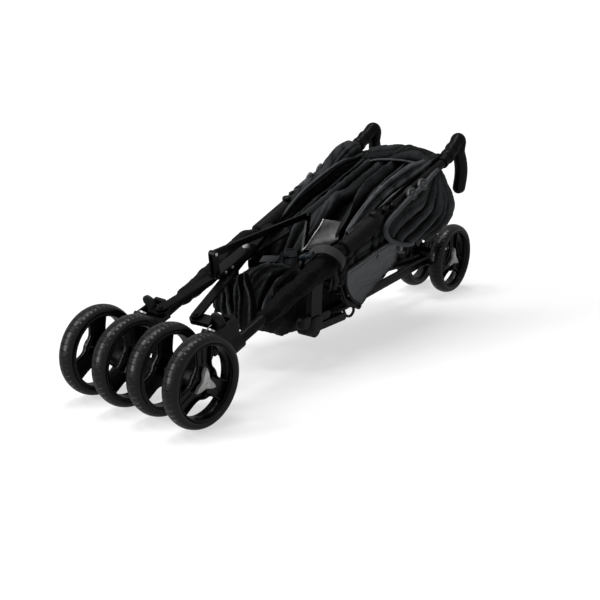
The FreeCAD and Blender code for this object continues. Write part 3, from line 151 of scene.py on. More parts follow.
class Graph(Tree):
    """The shader of one material or world."""

    def __init__(self, name: str, world: bool = False) -> None:
        """Start an empty shader.

        Args:
            name: Name of the material or world.
            world: Make a world, not a material.
        """
        self.owner = (bpy.data.worlds if world else bpy.data.materials).new(name)
        self.owner.use_nodes = True
        super().__init__(self.owner.node_tree)
        self.tree.nodes.clear()

    def node(self, kind: str, sockets: Optional[dict] = None, output: Any = 0, **settings: Any) -> Signal:
        """Add a node and hand back the chosen output as a signal."""
        return Signal(self, super().node(kind, sockets, output, **settings))

    def depth(self) -> Signal:
        """Depth in the folds: 0 on a ridge or on a mesh that has none, 1 in the deepest channel; the cloth
        finish paints shade with it.
        """
        return self.node("ShaderNodeAttribute", output="Fac", attribute_name="fold")

    def place(self) -> Signal:
        """Object coordinates."""
        return self.node("ShaderNodeTexCoord", output="Object")

    def cloth_axes(self) -> tuple[Signal, Signal]:
        """Metres across and along the cloth, from its own map."""
        place = self.node("ShaderNodeUVMap", uv_map="cloth")
        return tuple(self.node("ShaderNodeSeparateXYZ", {0: place}, axis) for axis in (0, 1))

    def noise(self, vector: Signal, scale: float, detail: float = 3.0, rough: float = 0.5) -> Signal:
        """Fractal noise of about 0 to 1, its scale in repeats per metre."""
        return self.node("ShaderNodeTexNoise",
                         {"Vector": vector, "Scale": scale, "Detail": detail, "Roughness": rough})

    def two_tone(self, share: Any, tone: float, other: float, warmth: float = 0.0,
                 extra: float = 0.0) -> Signal:
        """Mix two near-neutral colours, the second warmer by extra."""
        colours = {0: share, 6: tinted(tone, warmth), 7: tinted(other, warmth + extra)}
        return self.node("ShaderNodeMix", colours, 2, data_type="RGBA")

    def bump(self, height: Signal, depth: float, strength: float = 1.0,
             under: Optional[Signal] = None) -> Signal:
        """Turn a height into a normal.

        Args:
            height: Height, about 0 to 1.
            depth: Height in metres that 1 stands for.
            strength: How strongly it shows.
            under: A normal to add to.

        Returns:
            The bumped normal.
        """
        sockets = {"Height": height, "Distance": depth, "Strength": strength}
        if under is not None:
            sockets["Normal"] = under
        return self.node("ShaderNodeBump", sockets)

    def finish(self, base: Any, roughness: Any, normal: Optional[Signal] = None, gloss: float = 1.0,
               **plain: Any) -> bpy.types.Material:
        """Close the tree with a Principled BSDF.

        Args:
            base: Base colour.
            roughness: Roughness.
            normal: Normal.
            gloss: Share of the shine that is left. The rest is a matt film of the same colour.
            **plain: Uniform values for other sockets, with _ for spaces.

        Returns:
            The finished material.
        """
        sockets = {"Base Color": base, "Roughness": roughness}
        if normal is not None:
            sockets["Normal"] = normal
        sockets.update({key.replace("_", " "): value for key, value in plain.items()})
        shader = self.node("ShaderNodeBsdfPrincipled", sockets)
        if gloss < 1.0:
            film = self.node("ShaderNodeBsdfPrincipled",
                             {"Base Color": base, "Roughness": 1.0, "Specular IOR Level": 0.0})
            shader = self.node("ShaderNodeMixShader", {0: gloss, 1: film, 2: shader})
        self.node("ShaderNodeOutputMaterial", {"Surface": shader})
        return self.owner


def tinted(tone: float, warmth: float = 0.0) -> tuple[float, float, float]:
    """A near-neutral linear colour, towards brown where warmth is above 0 and blue below."""
    return (tone * (1 + warmth), tone, tone * (1 - warmth))


# ------------------------------------------------------------------ finishes

@dataclass(frozen=True)
class Finish:
    """A surface finish."""

    name: str
    tone: float = 0.0012
    roughness: float = 0.27

    def material(self) -> bpy.types.Material:
        """Build the material."""
        graph = Graph(self.name)
        return self.fill(graph, graph.place())

    def fill(self, graph: Graph, place: Signal) -> bpy.types.Material:
        """Build the nodes."""
        raise NotImplementedError


@dataclass(frozen=True)
class Moulding(Finish):
    """Moulded plastic with a fine spark-eroded grain and slightly polished patches."""

    tone: float = 0.0014
    grain: float = 2600.0
    depth: float = 0.00002
    warmth: float = -0.04
    gloss: float = 0.19

    def fill(self, graph: Graph, place: Signal) -> bpy.types.Material:
        """Build the nodes."""
        grain = graph.noise(place, self.grain, 2.0)
        wear = graph.noise(place, 28.0, 4.0, 0.62)
        base = graph.two_tone(wear.ramp(0.42, 0.75), self.tone, self.tone * 2.0, self.warmth)
        rough = wear * 0.22 + (self.roughness - 0.11) + grain * 0.06
        return graph.finish(base, rough, graph.bump(grain, self.depth, 0.8), self.gloss)


class Tread(Finish):
    """Foam rubber of a tyre: semi-gloss skin with faint flow lines and dusty patches."""

    def fill(self, graph: Graph, place: Signal) -> bpy.types.Material:
        """Build the nodes."""
        skin = graph.noise(place, 900.0, 3.0)
        flow = graph.noise(place, 60.0, 4.0, 0.6)
        base = graph.two_tone(flow.ramp(0.4, 0.8), self.tone, self.tone * 1.8, 0.0, 0.05)
        rough = flow * 0.14 + (self.roughness - 0.08) + skin * 0.05
        bumped = graph.bump(skin, 0.00003, 0.6, graph.bump(flow, 0.0004, 0.4))
        return graph.finish(base, rough, bumped, 0.30)


@dataclass(frozen=True)
class Lacquer(Finish):
    """Powder coat on a tube or bar: even gloss with orange peel and rubbed spots."""

    roughness: float = 0.24

    def fill(self, graph: Graph, place: Signal) -> bpy.types.Material:
        """Build the nodes."""
        peel = graph.noise(place, 700.0, 2.0)
        rub = graph.noise(place, 45.0, 5.0, 0.7)
        base = graph.two_tone(rub.ramp(0.55, 0.85), self.tone, self.tone * 2.4)
        rough = rub.ramp(0.35, 0.8, self.roughness, self.roughness + 0.2)
        return graph.finish(base, rough, graph.bump(peel, 0.00002, 0.6), 0.14)


class Fibre(Enum):
    """Kinds of woven cloth on the stroller."""

    TWILL = "twill"
    PLAIN = "plain"
    MESH = "mesh"


@dataclass(frozen=True)
class Weave(Finish):
    """Woven polyester read from the cloth's own map, with creases, a soft sheen and painted shade that
    darkens it in the fold channels.
    """

    tone: float = 0.010
    roughness: float = 0.62
    # Lightest colour as a multiple of tone. The fold ridges reach it and the channels keep tone, so on folded
    # cloth it also sets the painted shade.
    lift: float = 2.2
    fibre: Fibre = Fibre.PLAIN
    pitch: float = 0.0009
    warmth: float = -0.05
    sheen: float = 0.04

    def threads(self, across: Signal, along: Signal) -> Signal:
        """Height of the threads.

        Args:
            across: Metres across the cloth.
            along: Metres along the cloth.

        Returns:
            A height of about 0 to 1.
        """
        warp = across.ripple(self.pitch) + 0.5
        weft = along.ripple(self.pitch) + 0.5
        if self.fibre is Fibre.TWILL:
            return (across + along).ripple(self.pitch, 0.35) + warp * 0.3 + 0.3
        if self.fibre is Fibre.MESH:
            return (warp * weft) ** 0.4
        return warp * 0.5 + weft * 0.5

    def fill(self, graph: Graph, place: Signal) -> bpy.types.Material:
        """Build the nodes."""
        threads = self.threads(*graph.cloth_axes())
        crease = graph.noise(place, 70.0, 5.0, 0.6)
        fade = graph.noise(place, 14.0)
        slub = graph.noise(place, 900.0, 2.0)
        # Painted shade: the colour share, made of random tone variation, falls from the fold ridges to 0 in
        # the deepest channels.
        raised = 1.0 - graph.depth().ramp(0.08, 0.62)
        shade = (fade.ramp(0.3, 0.75) * 0.4 + threads * 0.15 + slub * 0.2 + 0.25) * raised
        base = graph.two_tone(shade, self.tone, self.tone * self.lift, self.warmth)
        bumped = graph.bump(threads, 0.00012, 0.5, graph.bump(crease, 0.006, 0.5))
        return graph.finish(base, slub * 0.1 + self.roughness, bumped, 0.4, Sheen_Weight=self.sheen,
                            Sheen_Roughness=0.4, Specular_IOR_Level=0.06)


@dataclass(frozen=True)
class Webbing(Finish):
    """Narrow woven strap with ribs across it and speckled threads."""

    tone: float = 0.02
    speck: float = 0.16

    def fill(self, graph: Graph, place: Signal) -> bpy.types.Material:
        """Build the nodes."""
        across, along = graph.cloth_axes()
        ribs = along.ripple(0.0024) + 0.5
        cords = across.ripple(0.0016) + 0.5
        fleck = graph.noise(place, 1500.0, 2.0)
        base = graph.two_tone((fleck > 0.62) * 0.6 + ribs * 0.1, self.tone, self.speck)
        return graph.finish(base, 0.7, graph.bump(ribs * 0.6 + cords * 0.4, 0.0006, 0.7),
                            Specular_IOR_Level=0.08)


@dataclass(frozen=True)
class Steel(Finish):
    """Plated steel of pins and rivets, with fine turning marks."""

    tone: float = 0.35
    roughness: float = 0.32

    def fill(self, graph: Graph, place: Signal) -> bpy.types.Material:
        """Build the nodes."""
        marks = graph.noise(place, 2200.0, 2.0)
        stain = graph.noise(place, 90.0, 4.0)
        base = graph.two_tone(stain.ramp(0.35, 0.8), self.tone, self.tone * 0.5, 0.0, 0.06)
        return graph.finish(base, stain * 0.2 + self.roughness - 0.1, graph.bump(marks, 0.0001, 0.5),
                            Metallic=1.0)


@dataclass(frozen=True)
class Sleeve(Finish):
    """Soft sleeve of a grip or a ribbed cover."""

    roughness: float = 0.34

    def fill(self, graph: Graph, place: Signal) -> bpy.types.Material:
        """Build the nodes."""
        pores = graph.noise(place, 1800.0)
        smear = graph.noise(place, 35.0)
        base = graph.two_tone(smear, self.tone, self.tone * 1.7)
        rough = smear * 0.2 + (self.roughness - 0.1)
        return graph.finish(base, rough, graph.bump(pores, 0.00003, 0.6), 0.15)


@dataclass(frozen=True)
class BlankPatch(Finish):
    """Pale satin patch sewn on the seat, left bare."""

    tone: float = 0.62
    roughness: float = 0.6

    def fill(self, graph: Graph, place: Signal) -> bpy.types.Material:
        """Build the nodes."""
        across, along = graph.cloth_axes()
        threads = across.ripple(0.0008) + along.ripple(0.0008)
        soil = graph.noise(place, 60.0, 4.0)
        base = graph.two_tone(soil.ramp(0.3, 0.8), self.tone, self.tone * 0.62, 0.0, 0.03)
        return graph.finish(base, self.roughness,
                            graph.bump(threads, 0.0002, 0.5, graph.bump(soil, 0.002, 0.4)),
                            Specular_IOR_Level=0.2)


class Palette:
    """Every finish of the stroller, built once."""

    def __init__(self) -> None:
        """Build the materials."""
        self.tyre = Tread("tyre_rubber").material()
        self.rim = Moulding("rim_nylon", tone=0.0010, roughness=0.22, gloss=0.22).material()
        self.cap = Moulding("cap_grey", tone=0.3, roughness=0.5, grain=1800.0, warmth=0.01).material()
        self.lacquer = Lacquer("frame_lacquer").material()
        # Bars get a darker copy of the frame lacquer, so that the rear arms under the panel sink into its
        # shade: painted shade on every bar.
        self.bar = Lacquer("bar_lacquer", tone=0.0008, roughness=0.2).material()
        self.nylon = Moulding("black_nylon").material()
        self.handle = Moulding("handle_nylon", tone=0.0008, roughness=0.3, gloss=0.1).material()
        self.pebble = Moulding("pebbled_lever", tone=0.010, roughness=0.5, grain=420.0,
                               depth=0.0004).material()
        self.grip = Sleeve("grip_rubber").material()
        self.sleeve = Sleeve("ribbed_sleeve", tone=0.005, roughness=0.5).material()
        self.steel = Steel("plated_steel").material()
        # A cloth's lift also sets its painted fold shade: its ridges can be up to lift times lighter than its
        # fold channels.
        self.canopy = Weave("canopy_cloth", tone=0.0018, lift=36.0, fibre=Fibre.TWILL, sheen=0.02).material()
        # The wing is the canopy cloth with a doubled tone, a lighter copy that paints light on the wing.
        self.wing = Weave("wing_cloth", tone=0.004, lift=30.0, fibre=Fibre.TWILL, sheen=0.02).material()
        # The rear band is the canopy cloth with a lower lift, a darker copy that paints shade on the band.
        self.band = Weave("band_cloth", tone=0.0018, lift=14.0, fibre=Fibre.TWILL, sheen=0.01).material()
        # The basket cloth's lift is raised so that pleats shaded under the frame read lighter: painted light.
        self.front = Weave("basket_cloth", tone=0.003, lift=38.0, roughness=0.66, sheen=0.02).material()
        self.seat = Weave("seat_cloth", tone=0.001, lift=40.0, roughness=0.66, sheen=0.02).material()
        self.cover = Weave("leg_cover_cloth", tone=0.0018, lift=3.2, roughness=0.5, sheen=0.01).material()
        self.lining = Weave("lining_mesh", tone=0.007, fibre=Fibre.MESH, pitch=0.0022).material()
        self.piping = Weave("piping_tape", tone=0.036, lift=1.6, pitch=0.0012, roughness=0.55).material()
        self.panel = Weave("panel_grey", tone=0.095, lift=1.5, pitch=0.0011, roughness=0.7).material()
        self.webbing = Webbing("speckled_webbing").material()
        self.strap = Webbing("dark_webbing", tone=0.006, speck=0.03).material()
        self.grey_webbing = Webbing("grey_webbing", tone=0.022, speck=0.075).material()
        self.buckle = Moulding("buckle_blue_black", tone=0.003, roughness=0.22, warmth=-0.95,
                               gloss=0.35).material()
        self.disc = Moulding("disc_plastic", tone=0.03, roughness=0.3, gloss=0.5).material()
        self.patch = BlankPatch("blank_patch").material()


# ------------------------------------------------------------------ mesh building

def reaches(line: Line) -> list[float]:
    """Distance along a line, from its start to each of its points."""
    found = [0.0]
    for first, second in zip(line, line[1:]):
        found.append(found[-1] + (second - first).length)
    return found


class Draft:
    """A mesh in the making, with the cloth's map in metres."""

    def __init__(self, name: str) -> None:
        """Start an empty mesh.

        Args:
            name: The piece's name.
        """
        self.name = name
        self.mesh = bmesh.new()
        self.map = self.mesh.loops.layers.uv.new("cloth")
        self.fold = self.mesh.verts.layers.float.new("fold")

    def grid(self, rows: Grid, around: bool = False, along: bool = False, caps: bool = False,
             depths: Sequence[Sequence[float]] = ()) -> "Draft":
        """Skin rows of points with quads.

        Args:
            rows: Points, row by row, each row as long as the next.
            around: Join the last point of a row to its first.
            along: Join the last row to the first.
            caps: Close both end rows with a fan round their middle.
            depths: How deep in a fold each point lies, 0 to 1.

        Returns:
            The draft.
        """
        corners = [[self.mesh.verts.new(point) for point in row] for row in rows]
        for line, shares in zip(corners, depths):
            for corner, share in zip(line, shares):
                corner[self.fold] = share
        width = len(rows[0])
        lengths = reaches([row[width // 2] for row in rows])
        lengths.append(lengths[-1] * (1 + 1 / max(1, len(rows) - 1)))
        spans = [reaches([*row, row[0]]) for row in rows]
        last_row = len(rows) if along else len(rows) - 1
        last_column = width if around else width - 1
        for i in range(last_row):
            j = (i + 1) % len(rows)
            for k in range(last_column):
                m = (k + 1) % width
                face = self.mesh.faces.new((corners[i][k], corners[i][m], corners[j][m], corners[j][k]))
                places = ((spans[i][k], lengths[i]), (spans[i][k + 1], lengths[i]),
                          (spans[j][k + 1], lengths[i + 1]), (spans[j][k], lengths[i + 1]))
                for loop, place in zip(face.loops, places):
                    loop[self.map].uv = place
        if caps:
            for row, points, turn in ((corners[0], rows[0], True), (corners[-1], rows[-1], False)):
                middle = self.mesh.verts.new(sum(points, Vector()) / width)
                for k in range(width):
                    trio = (row[k], row[(k + 1) % width], middle)
                    face = self.mesh.faces.new(tuple(reversed(trio)) if turn else trio)
                    for loop in face.loops:
                        loop[self.map].uv = (loop.vert.co.x, loop.vert.co.y)
        return self

    def lathe(self, profile: Sequence[tuple[float, float]], steps: int) -> "Draft":
        """Turn a closed profile about Z.

        Args:
            profile: Radius and height of each point.
            steps: Divisions of the turn.

        Returns:
            The draft.
        """
        rows = []
        for step in range(steps):
            angle = math.tau * step / steps
            rows.append([Vector((r * math.cos(angle), r * math.sin(angle), z)) for r, z in profile])
        return self.grid(rows, around=True, along=True)

    def close(self, smooth_angle: float = SHARP, place: Optional[Matrix] = None) -> bpy.types.Object:
        """Turn the draft into an object.

        Args:
            smooth_angle: Edges sharper than this stay sharp, in degrees.
            place: Where the mesh goes.

        Returns:
            The new object, at the origin.
        """
        bmesh.ops.remove_doubles(self.mesh, verts=self.mesh.verts, dist=1e-6)
        bmesh.ops.recalc_face_normals(self.mesh, faces=self.mesh.faces)
        data = bpy.data.meshes.new(self.name)
        self.mesh.to_mesh(data)
        self.mesh.free()
        if place is not None:
            data.transform(place)
            if place.determinant() < 0:
                data.flip_normals()
        for polygon in data.polygons:
            polygon.use_smooth = True
        data.set_sharp_from_angle(angle=math.radians(smooth_angle))
        return shown(self.name, data)


def shown(name: str, data: Any) -> bpy.types.Object:
    """Put a mesh, lamp or camera in the scene.

    Args:
        name: The object's name.
        data: What it shows.

    Returns:
        The new object, at the origin.
    """
    item = bpy.data.objects.new(name, data)
    bpy.context.scene.collection.objects.link(item)
    return item


def settle(item: bpy.types.Object, material: bpy.types.Material, body: Optional[str],
           stands_for: Sequence[str] = ()) -> bpy.types.Object:
    """Dress a finished piece and hang it on its body.

    Args:
        item: The piece.
        material: Its finish.
        body: The CAD body it rides on, or None where it is blended later.
        stands_for: CAD nodes that it replaces.

    Returns:
        The piece.
    """
    item.data.materials.clear()
    item.data.materials.append(material)
    if body is not None:
        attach(item, body)
    if stands_for:
        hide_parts(*stands_for)
    log.info("%s: %d faces on %s", item.name, len(item.data.polygons), body or "two bodies")
    return item


def baked(item: bpy.types.Object) -> bpy.types.Object:
    """Apply every modifier of a piece.

    Args:
        item: The piece.

    Returns:
        The same object with a plain mesh and no modifiers.
    """
    graph = bpy.context.evaluated_depsgraph_get()
    data = bpy.data.meshes.new_from_object(item.evaluated_get(graph), preserve_all_data_layers=True,
                                           depsgraph=graph)
    item.modifiers.clear()
    item.data = data
    return item


def facing_out(data: bpy.types.Mesh) -> None:
    """Merge doubled vertices and turn every face outwards.

    Args:
        data: The mesh, changed in place.
    """
    mesh = bmesh.new()
    mesh.from_mesh(data)
    bmesh.ops.remove_doubles(mesh, verts=mesh.verts, dist=1e-7)
    bmesh.ops.recalc_face_normals(mesh, faces=mesh.faces)
    mesh.to_mesh(data)
    mesh.free()


def facing(origin: Vector, z_axis: Vector, x_axis: Vector) -> Matrix:
    """Placement from two directions.

    Args:
        origin: Where the piece's origin goes.
        z_axis: Where its Z goes.
        x_axis: Roughly where its X goes.

    Returns:
        The placement.
    """
    z_axis = z_axis.normalized()
    y_axis = z_axis.cross(x_axis).normalized()
    x_axis = y_axis.cross(z_axis)
    return Matrix.Translation(origin) @ Matrix((x_axis, y_axis, z_axis)).transposed().to_4x4()


class Copies(Tree):
    """A Geometry Nodes tree that copies a mesh to points, makes the copies one mesh and paints it."""

    def __init__(self, name: str, inputs: dict[str, str]) -> None:
        """Start the tree.

        Args:
            name: The tree's name.
            inputs: Kind of each input after the mesh, by name.
        """
        super().__init__(bpy.data.node_groups.new(name, "GeometryNodeTree"))
        face = self.tree.interface
        face.new_socket("Geometry", in_out="INPUT", socket_type="NodeSocketGeometry")
        self.keys = [face.new_socket(label, in_out="INPUT", socket_type=f"NodeSocket{kind}").identifier
                     for label, kind in (inputs | {"Finish": "Material"}).items()]
        face.new_socket("Geometry", in_out="OUTPUT", socket_type="NodeSocketGeometry")
        self.given = self.tree.nodes.new("NodeGroupInput").outputs

    def place(self, points: Any, turn: Any) -> Any:
        """Copy the mesh to each of the points, turned by turn, and hand back one mesh."""
        spread = self.node("GeometryNodeInstanceOnPoints",
                           {"Points": points, "Instance": self.given["Geometry"], "Rotation": turn})
        return self.node("GeometryNodeRealizeInstances", {0: spread})

    def paint(self, mesh: Any) -> None:
        """Give the mesh its finish and end the tree."""
        done = self.node("GeometryNodeSetMaterial", {"Geometry": mesh, "Material": self.given["Finish"]})
        self.tree.links.new(done, self.tree.nodes.new("NodeGroupOutput").inputs[0])

    def run(self, draft: Draft, *values: Any, place: Optional[Matrix] = None) -> bpy.types.Object:
        """Run the tree on a draft.

        Args:
            draft: One copy.
            *values: The inputs after the mesh.
            place: Where the result goes.

        Returns:
            The finished plain mesh.
        """
        item = draft.close()
        modifier = item.modifiers.new("repeat", "NODES")
        modifier.node_group = self.tree
        for key, value in zip(self.keys, values):
            modifier[key] = value
        baked(item)
        if place is not None:
            item.data.transform(place)
        facing_out(item.data)
        item.data.set_sharp_from_angle(angle=math.radians(SHARP))
        return item


class Repeat(Copies):
    """Copies round the mesh's own Z axis, welded where they meet."""

    def __init__(self) -> None:
        """Build the tree."""
        super().__init__("repeat_round_axis", {"Count": "Int"})
        step = self.node("ShaderNodeMath", {0: math.tau, 1: self.given["Count"]}, operation="DIVIDE")
        index = self.node("GeometryNodeInputIndex")
        angle = self.node("ShaderNodeMath", {0: index, 1: step}, operation="MULTIPLY")
        points = self.node("GeometryNodePoints", {"Count": self.given["Count"]})
        copies = self.place(points, self.node("ShaderNodeCombineXYZ", {"Z": angle}))
        self.paint(self.node("GeometryNodeMergeByDistance", {"Geometry": copies, "Distance": 2e-5}))


class RepeatAlong(Copies):
    """Copies along a line, with their Z turned along it."""

    def __init__(self) -> None:
        """Build the tree."""
        super().__init__("repeat_along_line", {"Line": "Object", "Pitch": "Float"})
        guide = self.node("GeometryNodeObjectInfo", {"Object": self.given["Line"]}, "Geometry")
        curve = self.node("GeometryNodeMeshToCurve", {"Mesh": guide})
        spaced = self.node("GeometryNodeResampleCurve", {"Curve": curve, "Length": self.given["Pitch"]},
                           mode="LENGTH")
        run = self.node("GeometryNodeInputTangent")
        turn = self.node("FunctionNodeAlignRotationToVector", {"Vector": run}, axis="Z")
        self.paint(self.place(spaced, turn))

    def build(self, draft: Draft, line: Line, pitch: float,
              material: bpy.types.Material) -> bpy.types.Object:
        """Repeat a draft along a line.

        Args:
            draft: One repeat, standing on its own Z.
            line: The line's points.
            pitch: Metres from one to the next.
            material: The finish that the tree sets.

        Returns:
            The finished plain mesh.
        """
        data = bpy.data.meshes.new("guide_line")
        data.from_pydata([tuple(point) for point in line], [(k, k + 1) for k in range(len(line) - 1)], [])
        guide = shown("guide_line", data)
        item = self.run(draft, guide, pitch, material)
        bpy.data.objects.remove(guide)
        bpy.data.meshes.remove(data)
        return item


def joined(name: str, items: Sequence[bpy.types.Object]) -> bpy.types.Object:
    """Join finished meshes into one piece.

    Args:
        name: The piece's name.
        items: Objects at the origin.

    Returns:
        The joined piece.
    """
    merged = bmesh.new()
    for item in items:
        merged.from_mesh(item.data)
    data = bpy.data.meshes.new(name)
    merged.to_mesh(data)
    merged.free()
    for polygon in data.polygons:
        polygon.material_index = 0
    data.set_sharp_from_angle(angle=math.radians(SHARP))
    for item in items:
        old = item.data
        bpy.data.objects.remove(item)
        bpy.data.meshes.remove(old)
    return shown(name, data)


def smooth_line(points: Line, steps: int) -> list[Vector]:
    """A smooth line through points.

    Args:
        points: Points that the line passes.
        steps: Divisions of each stretch.

    Returns:
        Points along the line, both ends among them.
    """
    ends = [points[0] * 2 - points[1], *points, points[-1] * 2 - points[-2]]
    line = []
    for index in range(1, len(ends) - 2):
        a, b, c, d = ends[index - 1:index + 3]
        for step in range(steps):
            t = step / steps
            line.append(0.5 * ((2 * b) + (c - a) * t + (2 * a - 5 * b + 4 * c - d) * t * t
                               + (3 * b - a - 3 * c + d) * t ** 3))
    line.append(points[-1].copy())
    return line


def smooth_mm(points: Sequence[Triple], steps: int, side: float = 1.0) -> list[Vector]:
    """A smooth line in metres through points in millimetres, mirrored where side is -1."""
    return smooth_line([Vector((side * x, y, z)) * MM for x, y, z in points], steps)


def swept(name: str, line: Line, radius: Callable[[float], tuple[float, float]], sides: int,
          side: Vector = ACROSS, smooth_angle: float = 60.0) -> bpy.types.Object:
    """Skin a round or oval bar along a line, with no twist.

    Args:
        name: The piece's name.
        line: Its middle line.
        radius: Half width and half height at a share of the length.
        sides: Points round it.
        side: Where its width roughly points at the start.
        smooth_angle: Edges sharper than this stay sharp, in degrees.

    Returns:
        The bar.
    """
    rows = []
    last = len(line) - 1
    for index, point in enumerate(line):
        run = (line[min(index + 1, last)] - line[max(index - 1, 0)]).normalized()
        side = (side - run * side.dot(run)).normalized()
        up = run.cross(side)
        wide, high = radius(index / last)
        rows.append([point + side * (wide * math.cos(math.tau * k / sides))
                     + up * (high * math.sin(math.tau * k / sides)) for k in range(sides)])
    return Draft(name).grid(rows, around=True, caps=True).close(smooth_angle)


def scaled(profile: Sequence[tuple[float, float]], wide: float = MM) -> list[tuple[float, float]]:
    """Radii and heights in metres: heights from millimetres, radii times wide."""
    return [(r * wide, z * MM) for r, z in profile]


def rounded(angle: float, across: float = 0.6, up: float = 0.6) -> tuple[float, float]:
    """Cosine and sine of an angle, squared off by powers below 1, signs kept."""
    c, s = math.cos(angle), math.sin(angle)
    return math.copysign(abs(c) ** across, c), math.copysign(abs(s) ** up, s)


# ------------------------------------------------------------------ wheels

@dataclass
class Wheel:
    """One wheel: grooved foam tyre, deep drum with three channelled spokes, three-pointed cap."""

    prefix: str
    centre: Vector
    outward: Vector
    body: str
    palette: Palette
    repeat: Repeat
    radius: float = 0.080
    seat: float = 0.066
    grooves: int = 44
    spokes: int = 3

    def place(self) -> Matrix:
        """Where the wheel's own frame goes."""
        return facing(self.centre, self.outward, UP)

    def tyre(self) -> None:
        """One pitch of tread with its groove, repeated round the wheel."""
        shoulder, groove_half, groove_depth = 0.0735, 0.0118, 0.0009
        half = scaled([(self.seat, -14.4), (self.seat + 0.0015, -15.8), (0.0695, -16.5), (0.0722, -16.1),
                       (0.0746, -14.9), (0.0765, -12.8), (0.0780, -9.9), (0.0791, -6.4), (0.0798, -3.0),
                       (self.radius, -0.8)], 1.0)
        whole = half + [(r, -z) for r, z in reversed(half)]
        pitch = math.tau / self.grooves
        columns = ((0.0, 0.0), (0.44, 0.0), (0.47, 0.55), (0.49, 1.0), (0.51, 1.0), (0.53, 0.55),
                   (0.56, 0.0), (1.0, 0.0))
        rows = []
        for share, cut in columns:
            angle = pitch * share
            row = []
            for r, z in whole:
                reach = max(0.0, 1 - (abs(z) / groove_half) ** 4) if r > shoulder else 0.0
                deep = r - groove_depth * cut * reach
                row.append(Vector((deep * math.cos(angle), deep * math.sin(angle), z)))
            rows.append(row)
        pitch_of_tread = Draft(f"{self.prefix}_tread").grid(rows, around=True)
        item = self.repeat.run(pitch_of_tread, self.grooves, self.palette.tyre, place=self.place())
        settle(item, self.palette.tyre, self.body, [f"{self.prefix}_tyre"])

    def spoke(self) -> Draft:
        """A third of the spider: a wide channel with raised edges that meets its neighbours at the hub."""
        stations = (0.0105, 0.0145, 0.0185, 0.0225, 0.027, 0.032, 0.038, 0.046, 0.054, 0.0612)
        across = (-1.0, -0.985, -0.93, -0.83, -0.78, -0.4, -0.12, -0.06, 0.06, 0.12, 0.4, 0.78, 0.83, 0.93,
                  0.985, 1.0)
        channel, raised, swell, lip, under = 0.0022, 0.0052, 0.0035, 0.0004, -0.0035
        rows = []
        for r in stations:
            narrow = 0.0142 + 0.0052 * (r - 0.02) / 0.04
            full = r * math.tan(math.pi / self.spokes)
            half = min(full, narrow + 0.017 * math.exp(-max(0.0, r - 0.0145) / 0.0062))
            front, back = [], []
            for t in across:
                edge = abs(t)
                rail = 1.0 if 0.83 <= edge <= 0.93 else 0.75 if edge > 0.93 else 0.0
                rib = 0.35 if edge <= 0.06 and r > 0.026 else 0.0
                height = channel + raised * max(rail, rib)
                height += swell * math.exp(-max(0.0, r - 0.012) / 0.01)
                front.append(Vector((r, half * t, lip if edge == 1.0 else height)))
                back.append(Vector((r, half * t * 0.97, under if edge < 0.9 else -0.0005)))
            rows.append(front + list(reversed(back)))
        return Draft("spider").grid(rows, around=True, caps=True)

    def rim(self) -> None:
        """Drum with a stepped lip, hub barrel and spokes."""
        place = self.place()
        lip = [(self.seat, -14.2), (self.seat, 14.2), (0.0652, 15.4), (0.0641, 15.6), (0.0636, 14.4),
               (0.0629, 14.0), (0.0624, 12.9), (0.0618, 12.7), (0.0614, 9.6), (0.0606, 8.6), (0.0604, -10.4),
               (0.0612, -12.8), (0.0622, -14.6), (0.0644, -15.2)]
        barrel = [(0.0051, -14.0), (0.0125, -14.0), (0.0140, -12.5), (0.0142, 4.5), (0.0128, 7.6),
                  (0.0051, 7.9)]
        drum = Draft("drum").lathe(scaled(lip, 1.0), 96)
        hub = Draft("hub").lathe(scaled(barrel, 1.0), 36)
        spider = self.repeat.run(self.spoke(), self.spokes, self.palette.rim, place=place)
        piece = joined(f"{self.prefix}_spoked_rim",
                       [drum.close(place=place), hub.close(place=place), spider])
        settle(piece, self.palette.rim, self.body, [f"{self.prefix}_rim"])

    def cap(self) -> None:
        """Three-pointed cap with hollow edges, a rolled rim and a small centre mark."""
        tips, count = 3, 96
        outline = []
        for index in range(count):
            angle = math.tau * index / count
            fold = (angle % (math.tau / tips)) - math.pi / tips
            outline.append((angle, 0.0100 + 0.0162 * (abs(fold) / (math.pi / tips)) ** 2.4))
        layers = ((1.0, 6.0), (1.0, 10.8), (0.985, 11.9), (0.93, 12.5), (0.86, 12.55), (0.80, 12.0),
                  (0.74, 11.9), (0.4, 12.3), (0.16, 12.5), (0.13, 11.6))
        rows = [[Vector((r * scale * math.cos(a), r * scale * math.sin(a), z * MM)) for a, r in outline]
                for scale, z in layers]
        draft = Draft(f"{self.prefix}_cap").grid(rows, around=True, caps=True)
        item = draft.close(smooth_angle=55, place=self.place())
        settle(item, self.palette.cap, self.body, [f"{self.prefix}_hub_cap"])

    def build(self) -> None:
        """Build the whole wheel."""
        self.tyre()
        self.rim()
        self.cap()


@dataclass
class RunningGear:
    """All six wheels."""

    palette: Palette
    repeat: Repeat
    caster_x: float = 0.0758
    twin_half: float = 0.04025
    front_y: float = -0.4926
    rear_x: float = 0.043
    rear_y: float = 0.495
    height: float = 0.080
    caster_turn: float = -3.5

    def build(self) -> None:
        """Build every wheel."""
        across = Matrix.Rotation(math.radians(self.caster_turn), 3, "Z") @ ACROSS
        for name, side in SIDES:
            middle = Vector((side * self.caster_x, self.front_y, self.height))
            for ring, hand in (("outer", side), ("inner", -side)):
                Wheel(f"{name}_{ring}_front", middle + across * (hand * self.twin_half), across * hand,
                      f"{name}_{ring}_front_wheel", self.palette, self.repeat).build()
            Wheel(f"{name}_rear", Vector((side * self.rear_x, self.rear_y, self.height)),
                  Vector((side, 0, 0)), f"{name}_rear_wheel", self.palette, self.repeat).build()


# ------------------------------------------------------------------ frame

